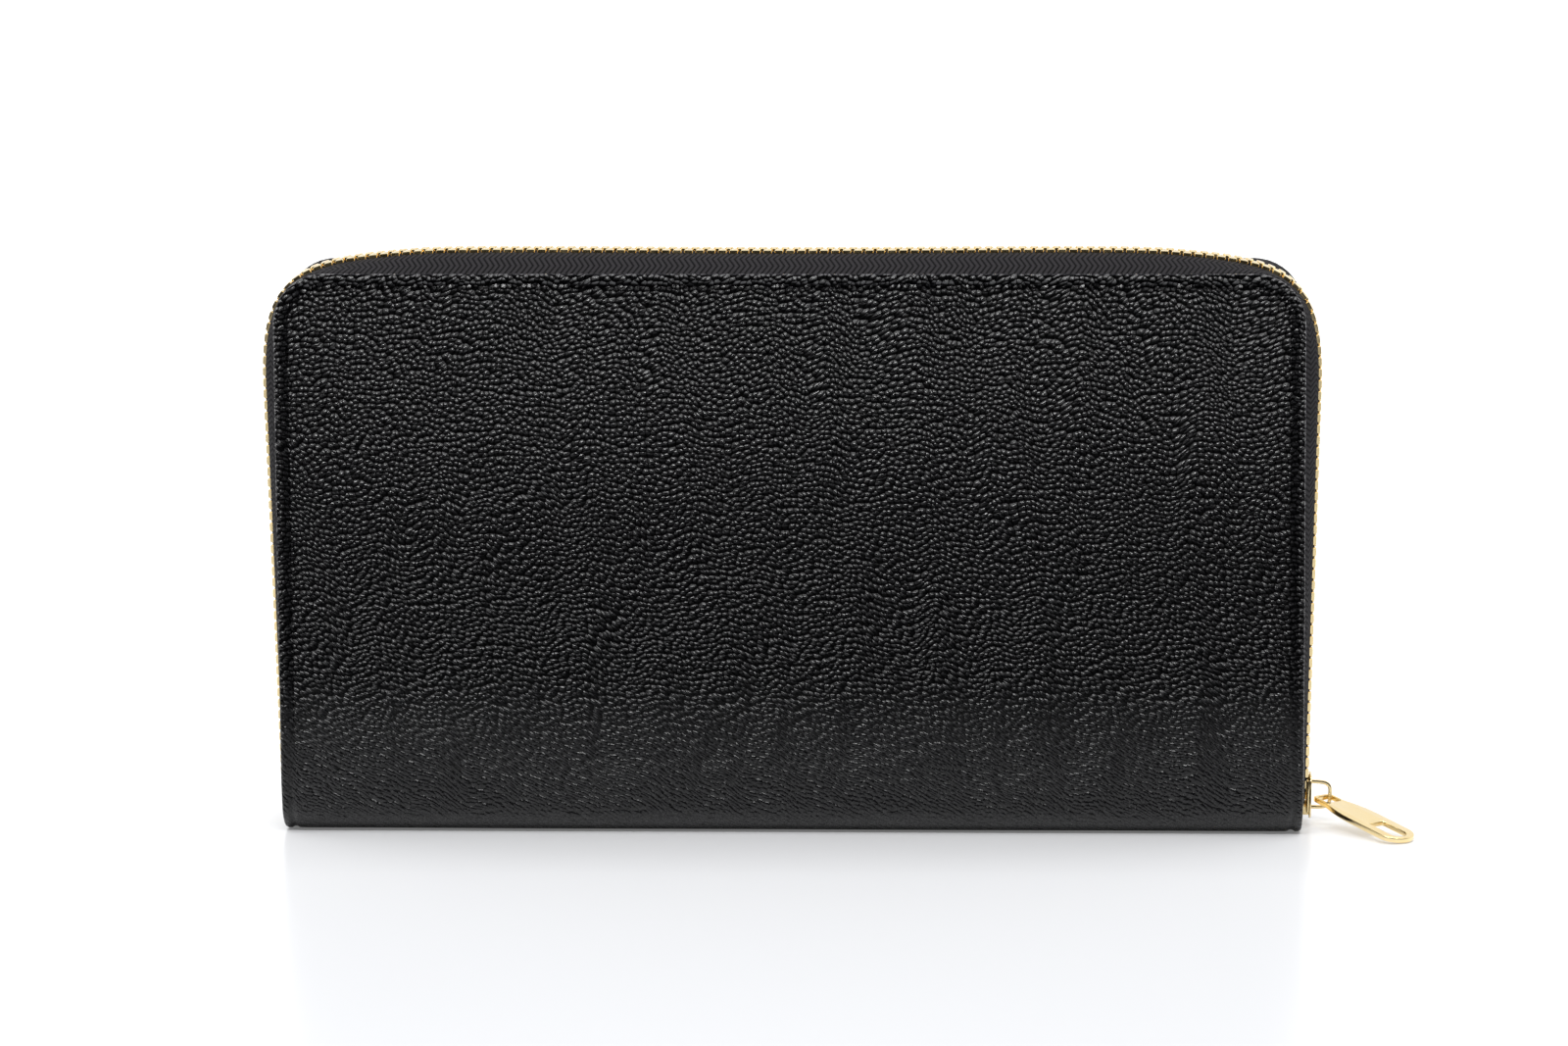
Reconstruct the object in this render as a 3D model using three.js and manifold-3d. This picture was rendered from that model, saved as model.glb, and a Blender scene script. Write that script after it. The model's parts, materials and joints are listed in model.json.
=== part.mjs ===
// A zip-around travel wallet standing on its spine, closed.
//
// Millimetres, +Z up, X along the wallet's width, the front cover on -Y and the back cover on +Y.
// The origin is the middle of the flat underside of the spine.
//
// The outer leather is three panels: two covers and a U-shaped spine that they hinge on. The zip runs up the
// right side, over the top and down the left side, each of its tapes sewn inside one cover. A zipped coin
// pocket stands in the middle on the spine, and four pleated gussets join it to the covers.
import * as THREE from "three";
import { mergeVertices } from "three/addons/utils/BufferGeometryUtils.js";
import Module from "manifold-3d";

const wasm = await Module();
wasm.setup();

// ---------------------------------------------------------------- driving dimensions
const THICKNESS = 25; // whole wallet, front face to back face
const HALF_THICKNESS = THICKNESS / 2;
const COVER_HALF_WIDTH = 96.8;
const COVER_TOP = 106.7;
const COVER_BOTTOM = 6;
const COVER_CORNER = 9.5;
const GAP = 0.1; // air between two flat layers
const SEAM = 0.3; // air between the spine and a cover

const LEATHER = 1.35; // turned outer leather
const BOARD = 1; // stiffener inside a cover
const TAPE = 0.6; // woven zip tape
const LINING = 0.6;
const CARD_LEATHER = 0.55; // one card pocket's front

const CARD_HALF_WIDTH = 84;
const THUMB_HALF_WIDTH = 9;
const THUMB_DEPTH = 2.2;
const CARD_ROWS = [
  { row: "top", bottom: 44, top: 88 },
  { row: "middle", bottom: 30, top: 74 },
  { row: "bottom", bottom: 10, top: 60 },
];

const SPINE_HALF_LENGTH = 96;
const SPINE_FOLD = 5; // outside radius where the spine turns up into a cover

// The zip's centreline, seen from the front, as (x, z).
const ZIP_START = { x: 96.9, z: 5.2 };
const ZIP_SHOULDER = { x: 99.1, z: 84 }; // top of the straight run up the side
const ZIP_TOP_CORNER = { x: 71.7, z: 108.9 };
const ZIP_TOP = 109.1; // centre of the chain at mid-width
const CORNER_HANDLE_UP = 21.5;
const CORNER_HANDLE_ALONG = 20.7;
const TOP_LEAD = 9;

const TOOTH_PITCH = 2.13;
const CHAIN = { head: 0.75, thickness: 1.8, back: 2.7, root: 1.9, lap: 0.2 };
const FIRST_TOOTH = 1.7; // from the tape's end
const STOP = { near: 1.5, far: 2.7, low: 5.0, high: 6.4, half: 0.5 };

const SLIDER = { z: 5.6, halfLength: 4, plate: 0.4, channel: 1.1, lip: 0.6, lipInner: 3.05, mouth: 4.3 };
const SLIT_HALF = 0.62; // the gap between a slider's lips, where the tape passes
const BRIDGE = { innerHalf: 2.2, innerRise: 3.35, wall: 0.5, halfWidth: 0.4 };
const PULL = { length: 24.6, halfWidth: 3.7, neck: 2.25, slotHalf: 1.65, slotEnd: 3.7, bar: 0.4, thickness: 1 };
const PULL_PIVOT_RISE = 2.1; // from the slider's outer face
const PULL_DROP = 0.7; // from the slider's middle
const PULL_YAW = THREE.MathUtils.degToRad(-50);
const PULL_PITCH = THREE.MathUtils.degToRad(10.3);

const COIN_HALF_WIDTH = 89;
const COIN_BOTTOM = 3.5;
const COIN_WALL_TOP = 80;
const COIN_WALL = 0.8;
const BINDING_BOTTOM = 7;
const COIN_HALF_GAP = 1.6;
const COIN_CHAIN_Z = 84.3;
const COIN_CHAIN_HALF_LENGTH = 78;
const COIN_TOOTH_PITCH = 2.6;
const COIN_CHAIN = { head: 0.95, thickness: 1.3, back: 1.65, root: 1.2, lap: 0.15 };
const COIN_SLIDER = { x: 74.5, halfLength: 3.6, plate: 0.45, channel: 0.85, lip: 0.4, lipInner: 1.9 };
const COIN_BRIDGE = { innerHalf: 1.5, innerRise: 1.5, wall: 0.5, halfWidth: 0.6 };
const COIN_PULL = { length: 12, halfWidth: 1.9, slotHalf: 0.9, thickness: 0.6, rise: 0.75 };

// ---------------------------------------------------------------- materials
const finish = (color, roughness, metalness = 0) =>
  new THREE.MeshStandardMaterial({ color, roughness, metalness });
const GRAINED_LEATHER = finish(0x151517, 0.5);
const SMOOTH_LEATHER = finish(0x1b1a1b, 0.55);
const BOARD_GREY = finish(0x8a8378, 0.9);
const TAPE_BLACK = finish(0x18171a, 0.85);
const LINING_BLACK = finish(0x1d1c1f, 0.8);
const GOLD = finish(0xe3bb5a, 0.2, 1);

// ---------------------------------------------------------------- shape helpers
const wallet = new THREE.Group();

function add(name, geometry, material, parent = wallet) {
  const mesh = new THREE.Mesh(geometry, material);
  mesh.name = name;
  parent.add(mesh);
  return mesh;
}

function solidOf(geometry) {
  const bare = geometry.clone();
  bare.deleteAttribute("normal");
  bare.deleteAttribute("uv");
  const merged = mergeVertices(bare, 1e-4);
  return new wasm.Manifold(
    new wasm.Mesh({
      numProp: 3,
      vertProperties: merged.attributes.position.array,
      triVerts: new Uint32Array(merged.index.array),
    }),
  );
}

function joined(...geometries) {
  const mesh = geometries
    .map(solidOf)
    .reduce((a, b) => a.add(b))
    .getMesh();
  return new THREE.BufferGeometry()
    .setAttribute("position", new THREE.BufferAttribute(new Float32Array(mesh.vertProperties), 3))
    .setIndex(new THREE.BufferAttribute(mesh.triVerts, 1));
}

// A closed geometry from points and triangles, turned so that its faces point out.
function closed(points, triangles) {
  let volume = 0;
  const cross = new THREE.Vector3();
  for (const [a, b, c] of triangles) volume += points[a].dot(cross.crossVectors(points[b], points[c]));
  const facing = volume < 0 ? triangles.map(([a, b, c]) => [a, c, b]) : triangles;
  return new THREE.BufferGeometry().setFromPoints(points).setIndex(facing.flat());
}

// A sheet of even thickness whose middle surface is grid[i][j].
function thickSheet(grid, thickness) {
  const rows = grid.length;
  const columns = grid[0].length;
  const at = (i, j) => grid[Math.min(Math.max(i, 0), rows - 1)][Math.min(Math.max(j, 0), columns - 1)];
  const faceNormal = (i, j, step) => {
    const along = new THREE.Vector3().subVectors(at(i + 1, j), at(i - 1, j));
    const [to, from] = [at(i, j + Math.max(step, 0)), at(i, j + Math.min(step, 0))];
    const across = new THREE.Vector3().subVectors(to, from);
    return along.cross(across).normalize();
  };
  const points = [];
  for (const side of [0.5, -0.5])
    for (let i = 0; i < rows; i++)
      for (let j = 0; j < columns; j++) {
        const before = j > 0 ? faceNormal(i, j, -1) : faceNormal(i, j, 1);
        const after = j < columns - 1 ? faceNormal(i, j, 1) : before;
        const normal = before.clone().add(after).normalize();
        points.push(grid[i][j].clone().addScaledVector(normal, side * thickness));
      }
  const index = (side, i, j) => side * rows * columns + i * columns + j;
  const triangles = [];
  const quad = (a, b, c, d) => triangles.push([a, b, c], [a, c, d]);
  for (let i = 0; i < rows - 1; i++)
    for (let j = 0; j < columns - 1; j++) {
      quad(index(0, i, j), index(0, i + 1, j), index(0, i + 1, j + 1), index(0, i, j + 1));
      quad(index(1, i, j), index(1, i, j + 1), index(1, i + 1, j + 1), index(1, i + 1, j));
    }
  const last = columns - 1;
  for (let i = 0; i < rows - 1; i++) {
    quad(index(0, i, 0), index(1, i, 0), index(1, i + 1, 0), index(0, i + 1, 0));
    quad(index(0, i, last), index(0, i + 1, last), index(1, i + 1, last), index(1, i, last));
  }
  for (let j = 0; j < last; j++) {
    quad(index(0, 0, j), index(0, 0, j + 1), index(1, 0, j + 1), index(1, 0, j));
    quad(index(0, rows - 1, j), index(1, rows - 1, j), index(1, rows - 1, j + 1), index(0, rows - 1, j + 1));
  }
  return closed(points, triangles);
}

// A plate upright in XZ, between two distances from the middle plane. side is -1 for front and +1 for back.
function uprightPlate(name, outline, side, near, far, material) {
  const depth = Math.abs(far - near);
  const options = { depth, bevelEnabled: false, curveSegments: 8 };
  const mesh = add(name, new THREE.ExtrudeGeometry(outline, options), material);
  mesh.rotation.x = Math.PI / 2;
  mesh.position.y = side < 0 ? -Math.min(near, far) : Math.max(near, far);
  return mesh;
}

// A bar along X whose section is drawn in (y, z).
function barAlongX(name, section, length, material) {
  const options = { depth: length, bevelEnabled: false, curveSegments: 8 };
  const mesh = add(name, new THREE.ExtrudeGeometry(section, options), material);
  mesh.rotation.set(Math.PI / 2, Math.PI / 2, 0);
  mesh.position.x = -length / 2;
  return mesh;
}

// An upright panel with round top corners, set in from the cover's edge all round.
function panelOutline(inset, bottom, top = COVER_TOP - inset) {
  const half = COVER_HALF_WIDTH - inset;
  const corner = Math.max(COVER_CORNER - inset - (COVER_TOP - inset - top), 2);
  const outline = new THREE.Shape();
  outline.moveTo(-half, bottom);
  outline.lineTo(half, bottom);
  outline.lineTo(half, top - corner);
  outline.absarc(half - corner, top - corner, corner, 0, Math.PI / 2, false);
  outline.lineTo(-half + corner, top);
  outline.absarc(-half + corner, top - corner, corner, Math.PI / 2, Math.PI, false);
  return outline;
}

function rectangle(x0, z0, x1, z1) {
  const outline = new THREE.Shape();
  outline.moveTo(x0, z0);
  outline.lineTo(x1, z0);
  outline.lineTo(x1, z1);
  outline.lineTo(x0, z1);
  outline.closePath();
  return outline;
}

// ---------------------------------------------------------------- the zip's line
function zipLine() {
  const shoulder = new THREE.Vector2(ZIP_SHOULDER.x, ZIP_SHOULDER.z);
  const up = shoulder.clone().sub(new THREE.Vector2(ZIP_START.x, ZIP_START.z)).normalize();
  const corner = new THREE.Vector2(ZIP_TOP_CORNER.x, ZIP_TOP_CORNER.z);
  const inwards = new THREE.Vector2(-12, 1).normalize();
  const right = [
    shoulder.clone().addScaledVector(up, CORNER_HANDLE_UP),
    corner.clone().addScaledVector(inwards, -CORNER_HANDLE_ALONG),
    corner,
    corner.clone().addScaledVector(inwards, TOP_LEAD),
    new THREE.Vector2(ZIP_TOP_CORNER.x / 2, ZIP_TOP),
    new THREE.Vector2(0, ZIP_TOP),
  ];
  const left = right.slice(0, -1).reverse().map((p) => new THREE.Vector2(-p.x, p.y));
  const xz = (...points) => points.flatMap((p) => [p.x, p.y]);
  const line = new THREE.Path();
  line.moveTo(ZIP_START.x, ZIP_START.z);
  line.lineTo(shoulder.x, shoulder.y);
  line.bezierCurveTo(...xz(...right.slice(0, 3)));
  line.bezierCurveTo(...xz(...right.slice(3)));
  line.bezierCurveTo(...xz(...left.slice(0, 3)));
  line.bezierCurveTo(...xz(...left.slice(3), new THREE.Vector2(-shoulder.x, shoulder.y)));
  line.lineTo(-ZIP_START.x, ZIP_START.z);
  return line;
}
const ZIP = zipLine();
ZIP.arcLengthDivisions = 400;
const ZIP_LENGTH = ZIP.getLength();

// A point of the zip's line and the direction out of the wallet there, both as (x, z).
function zipAt(distance) {
  const u = Math.min(Math.max(distance / ZIP_LENGTH, 0), 1);
  const point = ZIP.getPointAt(u);
  const tangent = ZIP.getTangentAt(u);
  return { point, out: new THREE.Vector2(tangent.y, -tangent.x) };
}

// The point of the cover's edge nearest to p, moved in from that edge by inset.
function coverEdge(p, inset) {
  const cx = COVER_HALF_WIDTH - COVER_CORNER;
  const cz = COVER_TOP - COVER_CORNER;
  const sign = Math.sign(p.x) || 1;
  const x = Math.abs(p.x);
  if (x > cx && p.y > cz) {
    const out = new THREE.Vector2(x - cx, p.y - cz).normalize().multiplyScalar(COVER_CORNER - inset);
    return new THREE.Vector2(sign * (cx + out.x), cz + out.y);
  }
  if (p.y <= cz) return new THREE.Vector2(sign * (COVER_HALF_WIDTH - inset), p.y);
  return new THREE.Vector2(p.x, COVER_TOP - inset);
}

// ---------------------------------------------------------------- outer leather
// One cover's turned leather panel.
function coverLeather(name, side) {
  const outline = panelOutline(0, COVER_BOTTOM);
  return uprightPlate(name, outline, side, HALF_THICKNESS - LEATHER, HALF_THICKNESS, GRAINED_LEATHER);
}

// The U of leather that the wallet stands on.
function spineLeather() {
  const top = COVER_BOTTOM - SEAM;
  const inner = SPINE_FOLD - LEATHER;
  const section = new THREE.Shape();
  section.moveTo(HALF_THICKNESS, top);
  section.lineTo(HALF_THICKNESS - LEATHER, top);
  section.absarc(HALF_THICKNESS - SPINE_FOLD, SPINE_FOLD, inner, 0, -Math.PI / 2, true);
  section.absarc(-HALF_THICKNESS + SPINE_FOLD, SPINE_FOLD, inner, -Math.PI / 2, -Math.PI, true);
  section.lineTo(-HALF_THICKNESS + LEATHER, top);
  section.lineTo(-HALF_THICKNESS, top);
  section.absarc(-HALF_THICKNESS + SPINE_FOLD, SPINE_FOLD, SPINE_FOLD, Math.PI, 1.5 * Math.PI, false);
  section.absarc(HALF_THICKNESS - SPINE_FOLD, SPINE_FOLD, SPINE_FOLD, 1.5 * Math.PI, 2 * Math.PI, false);
  return barAlongX("spine_leather", section, 2 * SPINE_HALF_LENGTH, GRAINED_LEATHER);
}

// ---------------------------------------------------------------- inside a cover
const BOARD_OUTER = HALF_THICKNESS - LEATHER - GAP;
const LINING_OUTER = BOARD_OUTER - BOARD - GAP;
const TAPE_Y = BOARD_OUTER - TAPE / 2; // middle of the tape where it is sewn behind the leather
const SEWN_WIDTH = 5;

function coverLayers(end, side) {
  const low = COVER_BOTTOM + 1;
  const layer = (name, outline, outer, depth, material) =>
    uprightPlate(`${end}_${name}`, outline, side, outer - depth, outer, material);
  layer("stiffener_board", panelOutline(SEWN_WIDTH + 0.5, low), BOARD_OUTER, BOARD, BOARD_GREY);
  layer("lining_panel", panelOutline(1.6, low), LINING_OUTER, LINING, LINING_BLACK);
  CARD_ROWS.forEach(({ row, bottom, top }, i) => {
    const outer = LINING_OUTER - LINING - GAP - i * (CARD_LEATHER + GAP);
    layer(`card_pocket_${row}`, cardPocketOutline(bottom, top), outer, CARD_LEATHER, SMOOTH_LEATHER);
  });
}

// A strip over two cards side by side, with a shallow thumb notch over each.
function cardPocketOutline(bottom, top) {
  const outline = new THREE.Shape();
  outline.moveTo(-CARD_HALF_WIDTH, bottom);
  outline.lineTo(CARD_HALF_WIDTH, bottom);
  outline.lineTo(CARD_HALF_WIDTH, top);
  for (const middle of [CARD_HALF_WIDTH / 2, -CARD_HALF_WIDTH / 2]) {
    outline.lineTo(middle + THUMB_HALF_WIDTH, top);
    outline.quadraticCurveTo(middle, top - 2 * THUMB_DEPTH, middle - THUMB_HALF_WIDTH, top);
  }
  outline.lineTo(-CARD_HALF_WIDTH, top);
  return outline;
}

// ---------------------------------------------------------------- the main zip
// One tape: sewn flat behind the leather, then out over the cover's edge to the chain.
function zipTape(name, side) {
  const stations = 60;
  const grid = [];
  for (let i = 0; i < stations; i++) {
    const { point } = zipAt((ZIP_LENGTH * i) / (stations - 1));
    const edge = coverEdge(point, 0.2);
    const across = [
      [coverEdge(point, SEWN_WIDTH), TAPE_Y],
      [coverEdge(point, 1.3), TAPE_Y],
      [edge, TAPE_Y - 0.9],
      [edge.clone().lerp(point, 0.75), TAPE_Y / 2 + 0.6],
      [point, CHAIN.back + 0.35],
    ];
    grid.push(across.map(([p, y]) => new THREE.Vector3(p.x, side * y, p.y)));
  }
  return add(name, thickSheet(grid, TAPE), TAPE_BLACK);
}

// One row of teeth on its bead, as a comb. place(distance) gives a point and an outward direction as (x, z).
function toothComb({ length, pitch, shape, side, shift, place }) {
  const teeth = Math.floor((length - shift) / pitch);
  const points = [];
  const edge = (distance, across) => {
    const { point, out } = place(distance);
    for (const half of [shape.thickness / 2, -shape.thickness / 2])
      points.push(new THREE.Vector3(point.x + out.x * half, side * across, point.y + out.y * half));
    return points.length - 2;
  };
  const backs = [];
  const fronts = [];
  for (let k = 0; k <= teeth; k++) {
    const at = shift + k * pitch;
    backs.push(edge(at, shape.back));
    fronts.push(edge(at, shape.root));
    if (k === teeth) break;
    fronts.push(edge(at + (pitch - shape.head) / 2, -shape.lap));
    fronts.push(edge(at + (pitch + shape.head) / 2, -shape.lap));
  }
  const triangles = [];
  const wall = (a, b) => triangles.push([a, b, b + 1], [a, b + 1, a + 1]);
  const caps = (a, b, c) => triangles.push([a, c, b], [a + 1, b + 1, c + 1]);
  for (let k = 0; k < teeth; k++) {
    const [before, after] = [backs[k], backs[k + 1]];
    const [valley, headStart, headEnd, nextValley] = fronts.slice(3 * k, 3 * k + 4);
    caps(before, valley, headStart);
    caps(before, headStart, headEnd);
    caps(before, headEnd, nextValley);
    caps(before, nextValley, after);
    wall(valley, headStart);
    wall(headStart, headEnd);
    wall(headEnd, nextValley);
    wall(after, before);
  }
  wall(backs[0], fronts[0]);
  wall(fronts.at(-1), backs.at(-1));
  return closed(points, triangles);
}

function mainTeeth(name, side) {
  const shift = FIRST_TOOTH + (side > 0 ? TOOTH_PITCH / 2 : 0);
  const length = ZIP_LENGTH - FIRST_TOOTH;
  const geometry = toothComb({ length, pitch: TOOTH_PITCH, shape: CHAIN, side, shift, place: zipAt });
  return add(name, geometry, GOLD);
}

// The metal clip that ends a row of teeth, under the slider on the right and opposite it on the left.
function zipStop(name, side, hand) {
  const block = rectangle(-STOP.half, STOP.low, STOP.half, STOP.high);
  const mesh = uprightPlate(name, block, side, STOP.near, STOP.far, GOLD);
  mesh.position.x = hand * ZIP_START.x;
  return mesh;
}

// ---------------------------------------------------------------- sliders
function box(x0, x1, y0, y1, z0, z1) {
  const geometry = new THREE.BoxGeometry(x1 - x0, y1 - y0, z1 - z0);
  return geometry.translate((x0 + x1) / 2, (y0 + y1) / 2, (z0 + z1) / 2);
}

// A slider lying in its own frame: chain along X through the origin, width along Y, bridge up on +Z.
// Its mouth, where the two rows part, is on -X.
function sliderBody({ halfLength, plate, channel, lip, lipInner, mouth }, bridge) {
  const outer = lipInner + lip;
  const outline = new THREE.Shape();
  outline.moveTo(-halfLength, -mouth);
  outline.lineTo(-halfLength / 2, -mouth);
  outline.lineTo(halfLength / 2, -outer);
  outline.lineTo(halfLength, -outer);
  outline.lineTo(halfLength, outer);
  outline.lineTo(halfLength / 2, outer);
  outline.lineTo(-halfLength / 2, mouth);
  outline.lineTo(-halfLength, mouth);
  const plates = [channel, -channel - plate].map((z) =>
    new THREE.ExtrudeGeometry(outline, { depth: plate, bevelEnabled: false }).translate(0, 0, z),
  );
  const lips = [];
  for (const side of [-1, 1])
    for (const up of [-1, 1]) {
      const [y0, y1] = [side * lipInner, side * outer].sort((a, b) => a - b);
      const [z0, z1] = [up * SLIT_HALF, up * (channel + plate / 2)].sort((a, b) => a - b);
      lips.push(box(-halfLength, halfLength, y0, y1, z0, z1));
    }
  const postHeight = channel + plate / 2;
  const post = box(-halfLength, -halfLength * 0.3, -plate, plate, -postHeight, postHeight);
  const arch = archGeometry(bridge).translate(0, 0, channel + plate - bridge.wall / 2);
  return joined(...plates, ...lips, post, arch);
}

// The loop over a slider that holds its pull, standing on z = 0 across X: nearly straight sides, rounded corners.
function archGeometry({ innerHalf, innerRise, wall, halfWidth }) {
  const rim = (half, rise, base) =>
    Array.from({ length: 19 }, (_, k) => {
      const [c, s] = [Math.cos((k * Math.PI) / 18), Math.sin((k * Math.PI) / 18)];
      return new THREE.Vector2(Math.sign(c) * half * Math.abs(c) ** 0.5, base + rise * Math.abs(s) ** 0.5);
    });
  const inner = rim(innerHalf, innerRise, wall / 2);
  const outer = rim(innerHalf + wall, innerRise + wall, wall / 2).reverse();
  const feet = [new THREE.Vector2(innerHalf, 0), new THREE.Vector2(-innerHalf, 0)];
  const toes = [new THREE.Vector2(-innerHalf - wall, 0), new THREE.Vector2(innerHalf + wall, 0)];
  const outline = new THREE.Shape([feet[0], ...inner, feet[1], toes[0], ...outer, toes[1]]);
  const geometry = new THREE.ExtrudeGeometry(outline, { depth: 2 * halfWidth, bevelEnabled: false });
  return geometry.translate(0, 0, -halfWidth).rotateX(Math.PI / 2);
}

// The chain runs up the right side, so the slider's X points up and its bridge out to +X.
function mainSlider() {
  const mesh = add("zip_slider", sliderBody(SLIDER, BRIDGE), GOLD);
  const { point, out } = zipAt((SLIDER.z - ZIP_START.z) / zipRise());
  const outward = new THREE.Vector3(out.x, 0, out.y);
  const up = new THREE.Vector3(-out.y, 0, out.x);
  const across = outward.clone().cross(up);
  mesh.position.set(point.x, 0, point.y);
  mesh.setRotationFromMatrix(new THREE.Matrix4().makeBasis(up, across, outward));
  return mesh;
}

// How much of a step along the side run goes up.
function zipRise() {
  const along = new THREE.Vector2(ZIP_SHOULDER.x - ZIP_START.x, ZIP_SHOULDER.z - ZIP_START.z);
  return along.y / along.length();
}

// The pull's flat outline: pivot bar at the origin, slot for the bridge, then a blade with a D-shaped hole.
function pullOutline() {
  const { length, halfWidth, neck, slotHalf, slotEnd, bar } = PULL;
  const [shoulder, full] = [slotEnd, 12];
  const round = length - halfWidth;
  const outline = new THREE.Shape();
  outline.moveTo(-bar, -1.2);
  outline.quadraticCurveTo(-bar, -neck, bar + 0.4, -neck);
  outline.lineTo(shoulder, -neck);
  outline.quadraticCurveTo(shoulder + 2.5, -halfWidth, full, -halfWidth);
  outline.lineTo(round, -halfWidth);
  outline.absellipse(round, 0, halfWidth, halfWidth, -Math.PI / 2, Math.PI / 2, false, 0);
  outline.lineTo(full, halfWidth);
  outline.quadraticCurveTo(shoulder + 2.5, halfWidth, shoulder, neck);
  outline.lineTo(bar + 0.4, neck);
  outline.quadraticCurveTo(-bar, neck, -bar, 1.2);
  const slot = new THREE.Path();
  slot.moveTo(bar, -slotHalf);
  slot.lineTo(bar, slotHalf);
  slot.lineTo(slotEnd, slotHalf);
  slot.lineTo(slotEnd, -slotHalf);
  const [holeStart, holeHalf] = [length - 9, 1.75];
  const holeRound = length - 1.3 - holeHalf;
  const hole = new THREE.Path();
  hole.moveTo(holeStart, -holeHalf);
  hole.lineTo(holeRound, -holeHalf);
  hole.absellipse(holeRound, 0, holeHalf, holeHalf, -Math.PI / 2, Math.PI / 2, false, 0);
  hole.lineTo(holeStart, holeHalf);
  outline.holes.push(slot, hole);
  return outline;
}

function flatBlade(outline, thickness) {
  const options = { depth: thickness, bevelEnabled: false, curveSegments: 12 };
  return new THREE.ExtrudeGeometry(outline, options).translate(0, 0, -thickness / 2);
}

function mainPull() {
  const rise = SLIDER.channel + SLIDER.plate + PULL_PIVOT_RISE;
  const { point } = zipAt((SLIDER.z - ZIP_START.z) / zipRise());
  const mesh = add("zip_pull_tab", flatBlade(pullOutline(), PULL.thickness), GOLD);
  mesh.position.set(point.x + rise, 0, point.y - PULL_DROP);
  mesh.rotation.set(0, PULL_PITCH, PULL_YAW, "ZYX");
  return mesh;
}

// ---------------------------------------------------------------- the coin pocket
function coinPocket() {
  const outer = COIN_HALF_GAP + COIN_WALL;
  const section = new THREE.Shape();
  section.moveTo(outer, COIN_WALL_TOP);
  section.lineTo(COIN_HALF_GAP, COIN_WALL_TOP);
  section.lineTo(COIN_HALF_GAP, COIN_BOTTOM + outer);
  section.absarc(0, COIN_BOTTOM + outer, COIN_HALF_GAP, 0, -Math.PI, true);
  section.lineTo(-COIN_HALF_GAP, COIN_WALL_TOP);
  section.lineTo(-outer, COIN_WALL_TOP);
  section.lineTo(-outer, COIN_BOTTOM + outer);
  section.absarc(0, COIN_BOTTOM + outer, outer, Math.PI, 2 * Math.PI, false);
  return barAlongX("coin_pocket", section, 2 * COIN_HALF_WIDTH, LINING_BLACK);
}

// Leather binding folded round one end of the coin pocket.
function coinBinding(name, hand) {
  const outer = COIN_HALF_GAP + COIN_WALL;
  const [inside, wrap] = [COIN_HALF_WIDTH + 0.25, COIN_HALF_WIDTH - 2.5];
  const plan = new THREE.Shape();
  plan.moveTo(wrap, -outer - 0.7);
  plan.lineTo(inside + 0.6, -outer - 0.7);
  plan.lineTo(inside + 0.6, outer + 0.7);
  plan.lineTo(wrap, outer + 0.7);
  plan.lineTo(wrap, outer + 0.2);
  plan.lineTo(inside, outer + 0.2);
  plan.lineTo(inside, -outer - 0.2);
  plan.lineTo(wrap, -outer - 0.2);
  const depth = COIN_WALL_TOP - BINDING_BOTTOM;
  const mesh = add(name, new THREE.ExtrudeGeometry(plan, { depth, bevelEnabled: false }), SMOOTH_LEATHER);
  mesh.position.z = BINDING_BOTTOM;
  if (hand < 0) mesh.rotation.z = Math.PI;
  return mesh;
}
// The coin zip's tape stands outside the pocket's wall and folds in to the chain.
function coinTape(name, side) {
  const grid = [];
  for (const x of [-COIN_CHAIN_HALF_LENGTH - 4, COIN_CHAIN_HALF_LENGTH + 4]) {
    const section = [[2.85, 76], [2.85, 83.2], [2.55, COIN_CHAIN_Z], [2, COIN_CHAIN_Z]];
    grid.push(section.map(([y, z]) => new THREE.Vector3(x, side * y, z)));
  }
  return add(name, thickSheet(grid, 0.35), TAPE_BLACK);
}

function coinTeeth(name, side) {
  const shift = side > 0 ? COIN_TOOTH_PITCH / 2 : 0;
  const place = (distance) => ({
    point: new THREE.Vector2(distance - COIN_CHAIN_HALF_LENGTH, COIN_CHAIN_Z),
    out: new THREE.Vector2(0, 1),
  });
  const length = COIN_CHAIN_HALF_LENGTH + COIN_SLIDER.x - COIN_SLIDER.halfLength + 1;
  const comb = toothComb({ length, pitch: COIN_TOOTH_PITCH, shape: COIN_CHAIN, side, shift, place });
  return add(name, comb, GOLD);
}

function coinStop(name, hand) {
  const near = COIN_CHAIN_HALF_LENGTH + 0.4;
  const [x0, x1] = [hand * near, hand * (near + 1.6)].sort((a, b) => a - b);
  const z = COIN_CHAIN_Z;
  return add(name, box(x0, x1, -1.6, 1.6, z - 0.6, z + 0.6), GOLD);
}

function coinSlider() {
  const { lipInner, lip } = COIN_SLIDER;
  const body = sliderBody({ ...COIN_SLIDER, mouth: lipInner + lip }, COIN_BRIDGE);
  const slider = add("coin_slider", body, GOLD);
  slider.position.set(COIN_SLIDER.x, 0, COIN_CHAIN_Z);
  slider.rotation.z = Math.PI;
  const pull = add("coin_pull_tab", flatBlade(coinPullOutline(), COIN_PULL.thickness), GOLD);
  const rise = COIN_SLIDER.channel + COIN_SLIDER.plate + COIN_PULL.rise;
  pull.position.set(COIN_SLIDER.x, 0, COIN_CHAIN_Z + rise);
  pull.rotation.z = Math.PI;
}

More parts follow.
